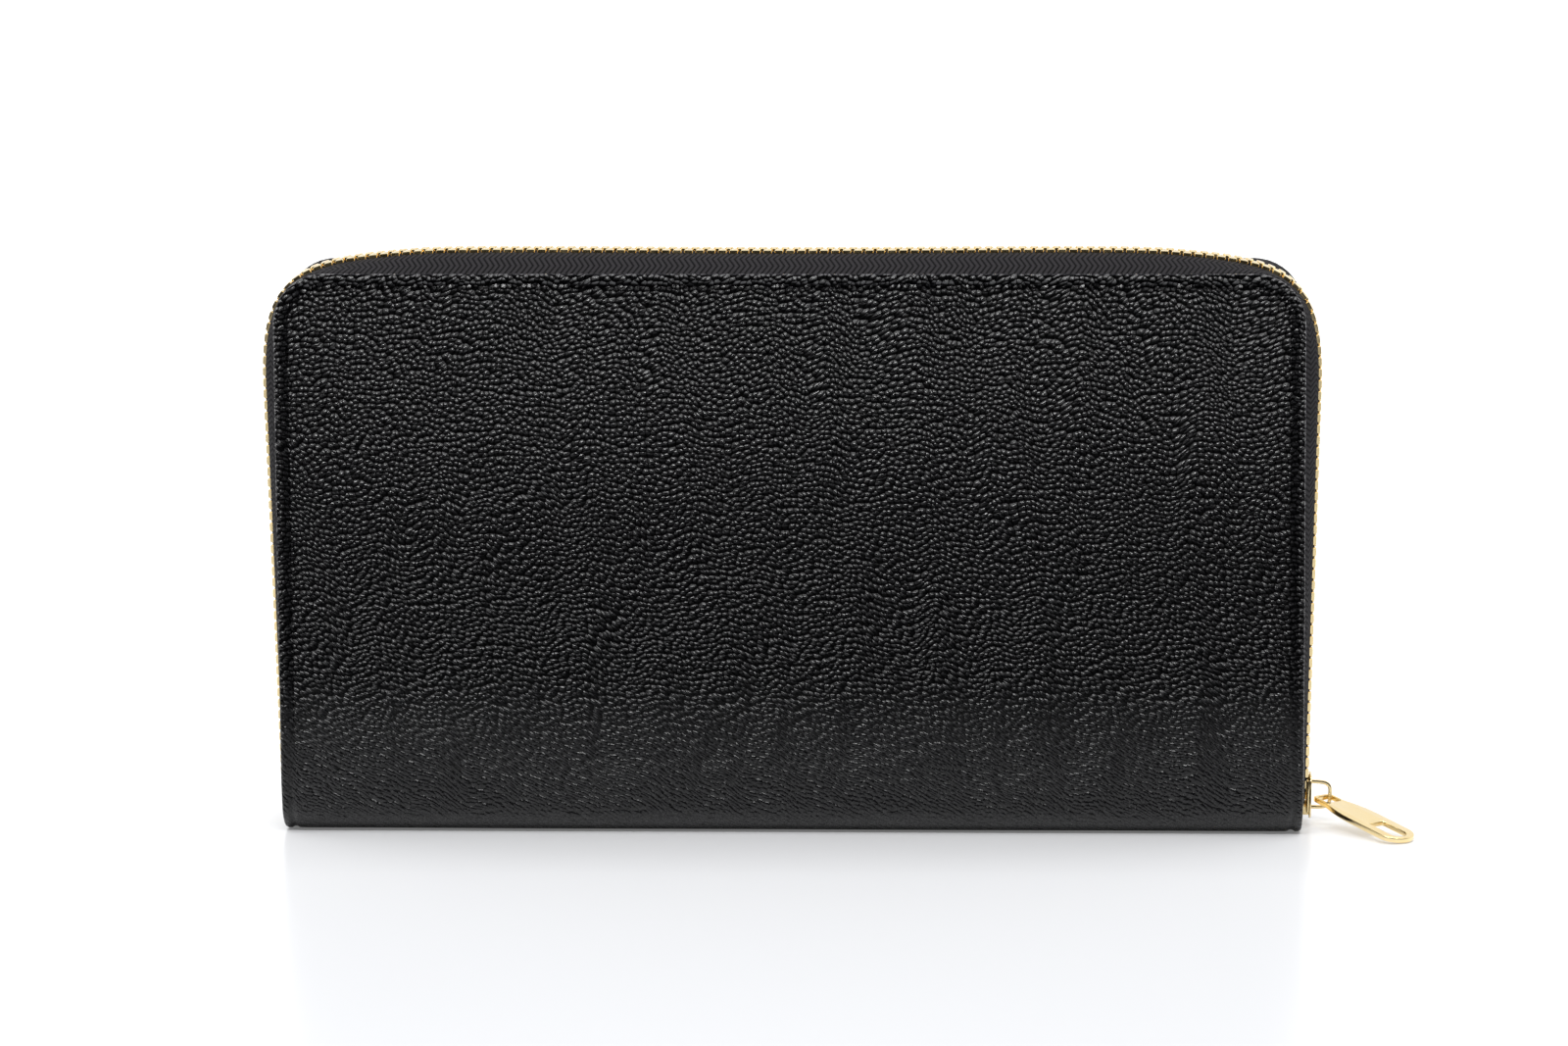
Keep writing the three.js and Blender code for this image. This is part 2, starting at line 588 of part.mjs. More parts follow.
function coinPullOutline() {
  const { length, halfWidth, slotHalf } = COIN_PULL;
  const bar = 0.4;
  const outline = new THREE.Shape();
  outline.moveTo(-bar, -halfWidth);
  outline.lineTo(length - halfWidth, -halfWidth);
  outline.absarc(length - halfWidth, 0, halfWidth, -Math.PI / 2, Math.PI / 2, false);
  outline.lineTo(-bar, halfWidth);
  const slot = new THREE.Path();
  slot.moveTo(bar, -slotHalf);
  slot.lineTo(bar, slotHalf);
  slot.lineTo(bar + 2.2, slotHalf);
  slot.lineTo(bar + 2.2, -slotHalf);
  const hole = new THREE.Path();
  hole.absarc(length - halfWidth, 0, 0.9, 0, 2 * Math.PI, true);
  outline.holes.push(slot, hole);
  return outline;
}

// ---------------------------------------------------------------- spine and gussets
function spineLayers() {
  const bar = (name, half, bottom, depth, halfLength, material) => {
    const section = rectangle(-half, bottom, half, bottom + depth);
    return barAlongX(name, section, 2 * halfLength, material);
  };
  bar("spine_stiffener", 6.5, LEATHER + GAP, 0.7, 93, BOARD_GREY);
  bar("spine_lining", 7.5, LEATHER + 2 * GAP + 0.7, 0.5, 93, LINING_BLACK);
}

// A pleat between the coin pocket's end and a cover. It folds inwards, deeper towards the top.
function gusset(name, hand, side) {
  const stations = 7;
  const grid = [];
  for (let i = 0; i < stations; i++) {
    const t = i / (stations - 1);
    const z = THREE.MathUtils.lerp(7.5, 72, t);
    const tip = THREE.MathUtils.lerp(88, 72, t);
    const section = [[93.6, 8.95], [Math.max(tip + 1, 87.5), 6.75], [tip, 5.4], [92.2, 3.6]];
    grid.push(section.map(([x, y]) => new THREE.Vector3(hand * x, side * y, z)));
  }
  return add(name, thickSheet(grid, 0.4), SMOOTH_LEATHER);
}

// ---------------------------------------------------------------- the wallet
spineLeather();
spineLayers();
for (const [end, side] of [["front", -1], ["back", 1]]) {
  coverLeather(`${end}_cover_leather`, side);
  coverLayers(end, side);
  zipTape(`${end}_zip_tape`, side);
  mainTeeth(`${end}_zip_teeth`, side);
  coinTape(`coin_zip_tape_${end}`, side);
  coinTeeth(`coin_zip_teeth_${end}`, side);
  for (const [hand, sign] of [["left", -1], ["right", 1]]) {
    zipStop(`${end}_zip_stop_${hand}`, side, sign);
    gusset(`gusset_${end}_${hand}`, sign, side);
  }
}
coinPocket();
for (const [hand, sign] of [["left", -1], ["right", 1]]) {
  coinBinding(`coin_pocket_binding_${hand}`, sign);
  coinStop(`coin_zip_stop_${hand}`, sign);
}
mainSlider();
mainPull();
coinSlider();

export default wallet;
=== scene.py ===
"""A zip-around travel wallet in grained black leather, standing on its spine, in metres."""

import json
import math

import bmesh
import bpy
from mathutils import Matrix, Quaternion, Vector, noise


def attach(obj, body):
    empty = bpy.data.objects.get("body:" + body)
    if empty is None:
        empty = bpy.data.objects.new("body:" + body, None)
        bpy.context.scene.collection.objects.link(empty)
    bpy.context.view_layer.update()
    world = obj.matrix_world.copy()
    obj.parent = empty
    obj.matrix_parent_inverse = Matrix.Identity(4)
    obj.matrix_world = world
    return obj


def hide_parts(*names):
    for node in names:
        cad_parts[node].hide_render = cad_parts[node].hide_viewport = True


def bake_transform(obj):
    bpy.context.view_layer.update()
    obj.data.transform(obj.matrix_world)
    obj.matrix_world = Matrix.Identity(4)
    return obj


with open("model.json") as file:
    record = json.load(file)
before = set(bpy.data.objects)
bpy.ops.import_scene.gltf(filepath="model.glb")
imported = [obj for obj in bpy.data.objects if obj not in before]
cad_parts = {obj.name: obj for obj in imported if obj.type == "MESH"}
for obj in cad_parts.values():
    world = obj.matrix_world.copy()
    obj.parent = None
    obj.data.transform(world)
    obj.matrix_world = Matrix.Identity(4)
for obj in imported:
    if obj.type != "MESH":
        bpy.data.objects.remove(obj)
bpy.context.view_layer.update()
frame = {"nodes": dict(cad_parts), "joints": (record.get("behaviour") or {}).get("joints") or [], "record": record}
ROOT, SLIDER, PULL = "wallet_body", "slider", "pull_tab"
COIN_SLIDER, COIN_PULL = "coin_zip_slider", "coin_zip_pull"
ENDS = (("front", -1), ("back", 1))
HANDS = (("left", -1), ("right", 1))

# ---------------------------------------------------------------- sizes, in millimetres
MM = 0.001

# Outer leather: half thickness of the wallet, radius of the fold beside the spine, half width, height,
# corner radius and thickness.
HALF_T = 12.5
FOLD = 5.0
HALF_W = 96.8
TOP = 106.7
CORNER = 9.5
LEATHER = 1.35

# Laid flat from the middle of the spine: the flat part under the wallet, the fold, and the whole length.
FLAT = HALF_T - FOLD
ARC = FOLD * math.pi / 2
TOP_S = FLAT + ARC + TOP - FOLD

# Main zip: where a tape is sewn, out from the middle and in from the cover's edge, the points that the line
# passes, the pull of the curve at each corner, the first tooth and the distance from tooth to tooth.
TAPE_Y = 10.75
SEWN = 5.0
ZIP_START = Vector((96.9, 5.2))
ZIP_SHOULDER = Vector((99.1, 84.0))
ZIP_CORNER = Vector((71.7, 108.9))
ZIP_TOP = 109.1
CORNER_HANDLE_UP = 21.5
CORNER_HANDLE_ALONG = 20.7
TOP_LEAD = 9
FIRST_TOOTH = 1.7
PITCH = 2.13
TAPE_STATIONS = 300

# The lining's margin inside the leather.
LINING_IN = 1.6

# Card pockets: half width, distance out from the middle, step and thickness, then each strip's name, bottom
# and top, and the depth and half width of its thumb dips.
CARD_HALF = 84
CARD_Y = 8.975
CARD_STEP = 0.65
CARD_THICK = 0.55
CARD_ROWS = (("top", 44, 88), ("middle", 30, 74), ("bottom", 10, 60))
DIP_DEPTH = 2.9
DIP_HALF = 9.5

# Gussets: bottom and height.
GUSSET_BOTTOM = 7.5
GUSSET_HEIGHT = 64.5

# Coin pocket: half width, half thickness and top.
COIN_HALF = 89
COIN_HALF_T = 2.0
COIN_TOP = 80.0

# Coin zip: height, start and length of the teeth, distance from tooth to tooth, the slider's place along it
# and the height of its pull.
COIN_Z = 84.3
COIN_START = -78
COIN_TEETH = 149.9
COIN_PITCH = 2.6
COIN_SLIDER_X = 74.5
COIN_PULL_Z = 86.35

STITCH_LENGTH = 2.4
STITCH_GAP = 0.9
STITCH_RADIUS = 0.17

# The angle from which an edge is shaded sharp.
SHARP_EDGE = math.radians(35)

# Sliders: half length, plate thickness, half height of the channel, lip, lip's inner face, half width of the
# mouth, half height of the slit, size of the rounded edges, and the bridge's half length, rise and section.
MAIN_SLIDER = {
    "long": 4,
    "plate": 0.4,
    "channel": 1.1,
    "lip": 0.6,
    "inner": 3.05,
    "mouth": 4.3,
    "slit": 0.6,
    "size": 1,
    "arch": 2.45,
    "rise": 3.6,
    "arch_half_wide": 0.5,
    "arch_half_thick": 0.36,
}
COIN_ZIP_SLIDER = {
    "long": 3.6,
    "plate": 0.45,
    "channel": 0.85,
    "lip": 0.4,
    "inner": 1.9,
    "mouth": 2.3,
    "slit": 0.55,
    "size": 0.7,
    "arch": 1.75,
    "rise": 1.75,
    "arch_half_wide": 0.55,
    "arch_half_thick": 0.24,
}

# Height of the main slider's middle.
SLIDER_Z = 5.6

# The pull tab: length, half width, half width at its neck, thickness, its rod in the bridge, its slot and
# its hole. Then its turn to the front and its droop, in degrees.
PULL_LENGTH = 24.6
PULL_HALF = 3.7
PULL_NECK = 2.3
PULL_THICK = 1.0
PULL_ROD = 0.4
SLOT_HALF = 1.65
SLOT_END = 3.7
HOLE_LENGTH = 9
HOLE_HALF = 1.75
PULL_TURN = -50
PULL_DROOP = 10.3

# Leather grain: cells a millimetre, the height where the rows are level, and how they lean away from it.
GRAIN_ROWS = 1.02
GRAIN_COLUMNS = 0.95
GRAIN_STAGGER = 0.5
GRAIN_JITTER = 0.8
GRAIN_LEVEL = 50.0
GRAIN_LEAN = -0.0066
GRAIN_DEPTH = 0.00038

# Zip tape: width of a chevron's arm, its slant and the width of a yarn.
CHEVRON = 2.4
CHEVRON_SLANT = 0.45
YARN = 1.05

# ---------------------------------------------------------------- studio, in metres, watts and degrees
OVERHEAD_PLACE = (0.0, 0.08, 0.8)
OVERHEAD_AIM = (0, 0, 0.04)
OVERHEAD_SIZE = (1.2, 0.3)
OVERHEAD_POWER = 3.3
FRONT_PLACE = (-0.05, -0.47, 0.74)
FRONT_AIM = (0, 0, 0.07)
FRONT_SIZE = (1.0, 0.07)
FRONT_POWER = 5
FLOOR_DROP = 0.0001
CAMERA_LENS = 168.8
CAMERA_SENSOR = 36
CAMERA_AIM = Vector((-0.00156, 0, 0.05756))
CAMERA_DISTANCE = 1.394
CAMERA_ELEVATION = math.radians(9.39)
CAMERA_AZIMUTH = math.radians(2.87)
CAMERA_ROLL = math.radians(-0.36)


# ---------------------------------------------------------------- node materials
class Nodes:
    """A short way to write a material's node tree."""

    def __init__(self, name):
        self.material = bpy.data.materials.new(name)
        self.material.use_nodes = True
        self.tree = self.material.node_tree
        self.shader = self.tree.nodes["Principled BSDF"]

    def new(self, kind, *inputs, out=0, **settings):
        """Adds a node, sets its inputs in order, and gives one of its outputs."""
        node = self.tree.nodes.new(kind)
        for key, value in settings.items():
            setattr(node, key, value)
        for i, value in enumerate(inputs):
            self.put(node.inputs[i], value)
        return node.outputs[out]

    def put(self, socket, value):
        """Links a socket, or sets its value."""
        if value is None:
            return
        if isinstance(value, bpy.types.NodeSocket):
            self.tree.links.new(value, socket)
        elif isinstance(value, (tuple, list)) and len(value) == 3 and socket.type == "RGBA":
            socket.default_value = (*value, 1)
        else:
            socket.default_value = value

    def set(self, **sockets):
        for key, value in sockets.items():
            self.put(self.shader.inputs[key.replace("_", " ")], value)

    def math(self, operation, a, b=None):
        return self.new("ShaderNodeMath", a, b, operation=operation)

    def add(self, a, b):
        return self.math("ADD", a, b)

    def times(self, a, b):
        return self.math("MULTIPLY", a, b)

    def flat(self, scale=(1, 1, 1)):
        """The laid-flat coordinates in millimetres."""
        at = self.new("ShaderNodeAttribute", attribute_name="flat", out=1)
        return self.new("ShaderNodeVectorMath", at, scale, operation="MULTIPLY")

    def noise(self, vector, scale, detail=3.0, roughness=0.5):
        node = self.tree.nodes.new("ShaderNodeTexNoise")
        self.put(node.inputs["Vector"], vector)
        for key, value in (("Scale", scale), ("Detail", detail), ("Roughness", roughness)):
            node.inputs[key].default_value = value
        return node.outputs["Fac"]

    def cells(self, vector, scale, jitter, dimensions="3D", feature="F1"):
        node = self.tree.nodes.new("ShaderNodeTexVoronoi")
        node.voronoi_dimensions = dimensions
        node.feature = feature
        self.put(node.inputs["Vector"], vector)
        node.inputs["Scale"].default_value = scale
        node.inputs["Randomness"].default_value = jitter
        return node.outputs

    def ramp(self, value, low, high, to_low=0.0, to_high=1.0):
        node = self.tree.nodes.new("ShaderNodeMapRange")
        node.interpolation_type = "SMOOTHSTEP"
        for socket, setting in zip(node.inputs, (value, low, high, to_low, to_high)):
            self.put(socket, setting)
        return node.outputs[0]

    def mix(self, factor, a, b):
        node = self.tree.nodes.new("ShaderNodeMix")
        node.data_type = "RGBA"
        self.put(node.inputs[0], factor)
        self.put(node.inputs[6], a)
        self.put(node.inputs[7], b)
        return node.outputs[2]

    def bump(self, height, distance, strength=1.0):
        node = self.tree.nodes.new("ShaderNodeBump")
        node.inputs["Strength"].default_value = strength
        node.inputs["Distance"].default_value = distance
        self.put(node.inputs["Height"], height)
        return node.outputs[0]


def grained_leather():
    """Printed grain: rows of small domed cells, glossy on their upper side, with a painted highlight there and
    painted shade below and in the valleys.

    The flat layer holds x, then s, the distance from the middle of the spine, then the distance in
    from the panel's edge."""
    n = Nodes("grained_leather")
    flat = n.flat()
    x, s, inset = n.new("ShaderNodeSeparateXYZ", flat).node.outputs

    # Rows that lean away from level and waver a little.
    from_level = n.math("ABSOLUTE", n.math("SUBTRACT", s, GRAIN_LEVEL))
    lean = n.times(n.math("POWER", from_level, 2.0), GRAIN_LEAN)
    waver = n.times(n.noise(n.flat((0.03, 0.10, 0)), 1.0, 1.0), 5.0)
    across = n.add(n.add(x, lean), waver)
    up = n.add(s, n.times(n.noise(n.flat((0.10, 0.03, 0)), 1.0, 1.0), 6.0))
    row = n.times(up, GRAIN_ROWS)
    column = n.add(n.times(across, GRAIN_COLUMNS), n.times(row, GRAIN_STAGGER))
    place = n.new("ShaderNodeCombineXYZ", column, row, 0.0)
    cell = n.cells(place, 1.0, GRAIN_JITTER, "2D")
    edge = n.cells(place, 1.0, GRAIN_JITTER, "2D", "DISTANCE_TO_EDGE")["Distance"]
    above = n.math("SUBTRACT", row, n.new("ShaderNodeSeparateXYZ", cell["Position"], out=1))

    # The plain strip along the crease, and the relief, which is deeper towards the top.
    plain = n.math("SUBTRACT", n.ramp(inset, 0.8, 1.5), n.ramp(inset, 2.2, 3.2))
    relief = n.times(n.ramp(s, 10.0, 50.0, 0.25, 0.85), n.ramp(s, 70.0, 112.0, 1.0, 1.4))
    relief = n.times(relief, n.ramp(plain, 0.0, 1.0, 1.0, 0.3))
    fine = n.noise(flat, 2.6, 3.0, 0.6)
    dome = n.math("SUBTRACT", 1.0, n.times(n.math("POWER", cell["Distance"], 2.0), 3.0))
    height = n.add(n.times(dome, relief), n.times(fine, 0.12))

    # Gloss on the upper side of each cell. A painted highlight lightens the turned edge, and the leather is dull
    # underneath.
    top = n.ramp(edge, 0.0, 0.17)
    # lit: painted highlight, lightening the colour on each cell's upper side, more towards the top; it also sets
    # the gloss.
    lit = n.times(top, n.ramp(above, -0.20, 0.32, 0.04, n.ramp(s, 60.0, 112.0, 1.05, 1.7)))
    lit = n.times(lit, n.ramp(plain, 0.0, 1.0, 1.0, 0.65))
    # Painted highlight: the colour is lighter along the turned edge.
    edge_highlight = n.ramp(inset, 0.0, 0.3, 0.7, 0.0)
    # The colour: painted highlight on each cell's upper side, painted shade below, in the valleys and along the
    # crease strip.
    tone = n.mix(lit, (0.0004, 0.0004, 0.0006), (0.0045, 0.0045, 0.0055))
    gloss = n.times(n.ramp(s, 12.0, 42.0, 0.60, lit), n.ramp(s, 9.6, 12.2, 0.06, 1.0))
    n.set(Base_Color=n.mix(edge_highlight, tone, (0.035, 0.035, 0.04)))
    n.set(Specular_IOR_Level=n.times(gloss, n.ramp(fine, 0.3, 0.7, 0.6, 1.15)))
    n.set(Roughness=n.ramp(fine, 0.3, 0.7, 0.20, 0.30), Normal=n.bump(height, GRAIN_DEPTH))
    return n.material


def smooth_leather():
    """Calf leather with fine pores."""
    n = Nodes("smooth_leather")
    flat = n.flat()
    pores = n.cells(flat, 1.9, 1.0, feature="DISTANCE_TO_EDGE")["Distance"]
    fine = n.noise(flat, 2.0, 4.0)
    height = n.add(n.ramp(pores, 0.0, 0.25), fine)
    n.set(Base_Color=n.mix(fine, (0.010, 0.010, 0.011), (0.020, 0.019, 0.020)))
    n.set(Roughness=n.ramp(fine, 0.3, 0.7, 0.40, 0.55), Normal=n.bump(height, 0.00006, 0.7))
    return n.material


def zip_tape():
    """Herringbone weave: slanted yarns that turn round twice across the tape."""
    n = Nodes("zip_tape")
    along, across, _ = n.new("ShaderNodeSeparateXYZ", n.flat()).node.outputs
    fold = n.math("PINGPONG", across, CHEVRON)
    slant = n.add(along, n.times(fold, CHEVRON_SLANT))
    yarn = n.math("ABSOLUTE", n.math("SINE", n.times(slant, math.pi / YARN)))
    rib = n.ramp(n.math("PINGPONG", across, 0.3), 0.0, 0.12)
    height = n.times(yarn, rib)
    # The colour is darker in the grooves between the yarns, painted shade, and lighter on their crowns, a painted
    # highlight.
    n.set(Base_Color=n.mix(yarn, (0.0008, 0.0008, 0.0012), (0.038, 0.036, 0.039)))
    n.set(Roughness=0.7, Specular_IOR_Level=0.03, Normal=n.bump(height, 0.00018, 0.9))
    return n.material


def lining():
    """Fine plain-woven cloth."""
    n = Nodes("lining")
    across, along, _ = n.new("ShaderNodeSeparateXYZ", n.flat()).node.outputs
    waves = [n.math("SINE", n.times(way, math.pi / 0.35)) for way in (across, along)]
    weave = n.ramp(n.times(*waves), -1.0, 1.0)
    tone = n.noise(n.flat(), 0.15, 3.0)
    n.set(Base_Color=n.mix(tone, (0.013, 0.013, 0.014), (0.026, 0.025, 0.027)))
    n.set(Roughness=0.75, Sheen_Weight=0.3, Normal=n.bump(weave, 0.00008, 0.8))
    return n.material


def gold():
    """Polished gold plate with faint polishing lines and slightly rubbed, duller patches."""
    n = Nodes("gold_metal")
    place = n.new("ShaderNodeTexCoord", out=3)
    streaks = n.new("ShaderNodeVectorMath", place, (900, 6000, 2500), operation="MULTIPLY")
    lines = n.noise(streaks, 1.0, 3.0)
    patch = n.noise(place, 400.0, 3.0)
    n.set(Base_Color=n.mix(patch, (0.93, 0.72, 0.36), (0.99, 0.82, 0.48)), Metallic=1.0)
    n.set(Roughness=n.ramp(patch, 0.3, 0.7, 0.13, 0.26), Normal=n.bump(lines, 0.00001, 0.25))
    return n.material


def board():
    """Grey-brown fibre board."""
    n = Nodes("board")
    place = n.new("ShaderNodeTexCoord", out=3)
    fibre = n.noise(place, 900.0, 5.0, 0.65)
    n.set(Base_Color=n.mix(fibre, (0.16, 0.14, 0.11), (0.30, 0.27, 0.22)))
    n.set(Roughness=0.9, Normal=n.bump(fibre, 0.0001, 0.6))
    return n.material


def thread():
    """Black sewing thread with a fine twist."""
    n = Nodes("thread")
    strand = n.noise(n.new("ShaderNodeTexCoord", out=3), 5000.0, 2.0)
    n.set(Base_Color=n.mix(strand, (0.010, 0.010, 0.011), (0.035, 0.034, 0.036)))
    n.set(Roughness=0.6, Sheen_Weight=0.3, Normal=n.bump(strand, 0.00003, 0.6))
    return n.material


MATERIALS = {
    "grained_leather": grained_leather(),
    "smooth_leather": smooth_leather(),
    "zip_tape": zip_tape(),
    "lining": lining(),
    "board": board(),
    "thread": thread(),
    "gold_metal": gold(),
}
for node in frame["nodes"].values():
    slot = next(s["material_slot"] for s in frame["record"]["subparts"] if s["node"] == node.name)
    node.data.materials.clear()
    node.data.materials.append(MATERIALS[slot])


# ---------------------------------------------------------------- making pieces
def finish_piece(shape, name, material, body=None, stands_for=(), merge=1e-4):
    """A piece from a bmesh in millimetres. body is a name, or None for a piece that stays where it is built."""
    if merge:
        bmesh.ops.remove_doubles(shape, verts=shape.verts, dist=merge)
    bmesh.ops.recalc_face_normals(shape, faces=shape.faces)
    bmesh.ops.scale(shape, vec=(MM, MM, MM), verts=shape.verts)
    mesh = bpy.data.meshes.new(name)
    shape.to_mesh(mesh)
    shape.free()
    mesh.shade_smooth()
    mesh.set_sharp_from_angle(angle=SHARP_EDGE)
    mesh.materials.append(MATERIALS[material])
    piece = bpy.data.objects.new(name, mesh)
    bpy.context.scene.collection.objects.link(piece)
    if body:
        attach(piece, body)
    if stands_for:
        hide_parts(*stands_for)
    return piece


def new_bmesh():
    """An empty mesh, and its layer of laid-flat coordinates."""
    shape = bmesh.new()
    return shape, shape.verts.layers.float_vector.new("flat")


def shell(shape, layer, grid, thickness, flat):
    """A closed sheet round grid[i][j], thinner at its border; flat[i][j] is its laid-flat coordinate."""
    rows, columns = len(grid), len(grid[0])

    def at(i, j):
        return grid[min(max(i, 0), rows - 1)][min(max(j, 0), columns - 1)]

    faces = {}
    for side in (1, -1):
        for i in range(rows):
            for j in range(columns):
                normal = (at(i + 1, j) - at(i - 1, j)).cross(at(i, j + 1) - at(i, j - 1)).normalized()
                edge = i in (0, rows - 1) or j in (0, columns - 1)
                half = thickness / 2 * (0.55 if edge else 1)
                v = shape.verts.new(grid[i][j] + normal * half * side)
                v[layer] = Vector((*flat[i][j], 0))
                faces[side, i, j] = v
    quads = []
    for i in range(rows - 1):
        for j in range(columns - 1):
            for side in (1, -1):
                quad = ((i, j), (i + 1, j), (i + 1, j + 1), (i, j + 1))
                quads.append([faces[side, *place] for place in quad])
    border = [(0, j) for j in range(columns)] + [(i, columns - 1) for i in range(1, rows)]
    border += [(rows - 1, j) for j in range(columns - 2, -1, -1)] + [(i, 0) for i in range(rows - 2, 0, -1)]
    for a, b in zip(border, border[1:] + border[:1]):
        quads.append([faces[1, *a], faces[1, *b], faces[-1, *b], faces[-1, *a]])
    for quad in quads:
        shape.faces.new(quad)


def block(shape, layer, low, high, bevel=0.15, matrix=Matrix()):
    """A box with rounded edges."""
    made = bmesh.ops.create_cube(shape, size=1)["verts"]
    size, middle = Vector(high) - Vector(low), (Vector(high) + Vector(low)) / 2
    for v in made:
        v.co = middle + Vector(a * b for a, b in zip(v.co, size))
    edges = {e for v in made for e in v.link_edges}
    rounded = bmesh.ops.bevel(shape, geom=list(edges), offset=bevel, segments=2, profile=0.5, affect="EDGES")
    verts = {v for f in rounded["faces"] for v in f.verts} | {v for v in made if v.is_valid}
    for v in verts:
        v[layer] = v.co.copy()
        v.co = matrix @ v.co


def plate(shape, layer, outlines, thickness, bevel, matrix):
    """A flat plate with rounded edges, from a closed outline and the outlines of its holes."""
    curve = bpy.data.curves.new("outline", "CURVE")
    curve.dimensions = "2D"
    curve.fill_mode = "BOTH"
    curve.extrude = thickness / 2 - bevel
    curve.bevel_depth = bevel
    curve.bevel_resolution = 2
    curve.offset = -bevel
    for points in outlines:
        spline = curve.splines.new("POLY")
        spline.points.add(len(points) - 1)
        for p, (x, y) in zip(spline.points, points):
            p.co = (x, y, 0, 1)
        spline.use_cyclic_u = True
    maker = bpy.data.objects.new("outline", curve)
    mesh = bpy.data.meshes.new_from_object(maker)
    before = len(shape.verts)
    shape.from_mesh(mesh)
    shape.verts.ensure_lookup_table()
    for v in shape.verts[before:]:
        v[layer] = v.co.copy()
        v.co = matrix @ v.co
    bpy.data.objects.remove(maker)
    bpy.data.curves.remove(curve)
    bpy.data.meshes.remove(mesh)


def bar(shape, layer, path, half_wide, half_thick, wide, sides, matrix=Matrix()):
    """A bar of rounded section swept along path. wide is the direction of its width."""
    wide = Vector(wide).normalized()
    rings = []
    for i, p in enumerate(path):
        along = (path[min(i + 1, len(path) - 1)] - path[max(i - 1, 0)]).normalized()
        thick = along.cross(wide).normalized()
        ring = []
        for k in range(sides):
            a = 2 * math.pi * k / sides
            c, s = math.cos(a), math.sin(a)
            square = (c**4 + s**4) ** -0.25
            off = wide * (c * square * half_wide) + thick * (s * square * half_thick)
            v = shape.verts.new(matrix @ (p + off))
            v[layer] = p.copy()
            ring.append(v)
        rings.append(ring)
    for a, b in zip(rings, rings[1:]):
        for k in range(sides):
            shape.faces.new([a[k], a[(k + 1) % sides], b[(k + 1) % sides], b[k]])
    shape.faces.new(rings[0])
    shape.faces.new(rings[-1])


def stitches(name, lines, body):
    """Rows of thread stitches. Each line is (start, end, outward normal)."""
    shape, layer = new_bmesh()
    for start, end, out in lines:
        start, end, out = Vector(start), Vector(end), Vector(out).normalized()
        along = (end - start).normalized()
        count = int((end - start).length / (STITCH_LENGTH + STITCH_GAP))
        for k in range(count):
            at = start + along * ((k + 0.5) * (end - start).length / count)
            arc = []
            for t in (-1, -0.85, -0.4, 0, 0.4, 0.85, 1):
                lift = out * (STITCH_RADIUS * (0.9 - 1.5 * t**4))
                arc.append(at + along * (t * STITCH_LENGTH / 2) + lift)
            bar(shape, layer, arc, STITCH_RADIUS, STITCH_RADIUS, along.cross(out), 6)
    return finish_piece(shape, name, "thread", body)


# ---------------------------------------------------------------- the zip's line
def bezier(a, b, c, d, count):
    """Points of a cubic curve after its first."""
    for k in range(1, count + 1):
        t = k / count
        u = 1 - t
        yield a * u**3 + b * (3 * u * u * t) + c * (3 * u * t * t) + d * t**3


class Line:
    """A polyline looked up by distance along it."""

    def __init__(self, points):
        self.points = points
        self.marks = [0.0]
        for a, b in zip(points, points[1:]):
            self.marks.append(self.marks[-1] + (b - a).length)
        self.length = self.marks[-1]

    def point(self, distance):
        distance = min(max(distance, 0), self.length)
        low, high = 0, len(self.marks) - 1
        while high - low > 1:
            mid = (low + high) // 2
            low, high = (mid, high) if self.marks[mid] <= distance else (low, mid)
        share = (distance - self.marks[low]) / (self.marks[high] - self.marks[low])
        return self.points[low].lerp(self.points[high], share)

    def at(self, distance):
        """The point there, the direction along, and the direction out of the wallet, in (x, z)."""
        near, far = max(distance - 0.5, 0), min(distance + 0.5, self.length)
        along = (self.point(far) - self.point(near)).normalized()
        return self.point(distance), along, Vector((along.y, -along.x))


def zip_line():
    """The line between the two rows of teeth: up the right, over the top, and down the left."""
    up = (ZIP_SHOULDER - ZIP_START).normalized()
    inwards = Vector((-12, 1)).normalized()
    right = [ZIP_START + (ZIP_SHOULDER - ZIP_START) * (k / 60) for k in range(61)]
    leaving = ZIP_SHOULDER + up * CORNER_HANDLE_UP
    arriving = ZIP_CORNER - inwards * CORNER_HANDLE_ALONG
    right += bezier(ZIP_SHOULDER, leaving, arriving, ZIP_CORNER, 80)
    middle = Vector((0, ZIP_TOP))
    leaving = ZIP_CORNER + inwards * TOP_LEAD
    right += bezier(ZIP_CORNER, leaving, Vector((ZIP_CORNER.x / 2, ZIP_TOP)), middle, 80)
    return Line(right + [Vector((-p.x, p.y)) for p in reversed(right[:-1])])


ZIP = zip_line()


def cover_edge(p, inset):
    """The point of a cover's edge nearest to p, moved in by inset."""
    cx, cz = HALF_W - CORNER, TOP - CORNER
    x, sign = abs(p.x), math.copysign(1, p.x)
    if x > cx and p.y > cz:
        out = Vector((x - cx, p.y - cz)).normalized() * (CORNER - inset)
        return Vector((sign * (cx + out.x), cz + out.y))
    if p.y <= cz:
        return Vector((sign * (HALF_W - inset), p.y))
    return Vector((p.x, TOP - inset))


# ---------------------------------------------------------------- leather laid round the spine
def wrap(x, s, h, side):
    """A point of the leather, s from the spine's middle line and h out of its outer face."""
    if s < FLAT:
        y, z = s, -min(h, 0)
    elif s < FLAT + ARC:
        a = (s - FLAT) / FOLD
        y, z = FLAT + (FOLD + h) * math.sin(a), FOLD - (FOLD + h) * math.cos(a)
    else:
        y, z = HALF_T + h, FOLD + s - FLAT - ARC
    return Vector((x, side * y, z))


def spine_taper(s):
    """The leather is drawn in a little where it turns under the wallet."""
    return 0.9 * max(0, 1 - s / (FLAT + ARC + 6)) ** 1.5


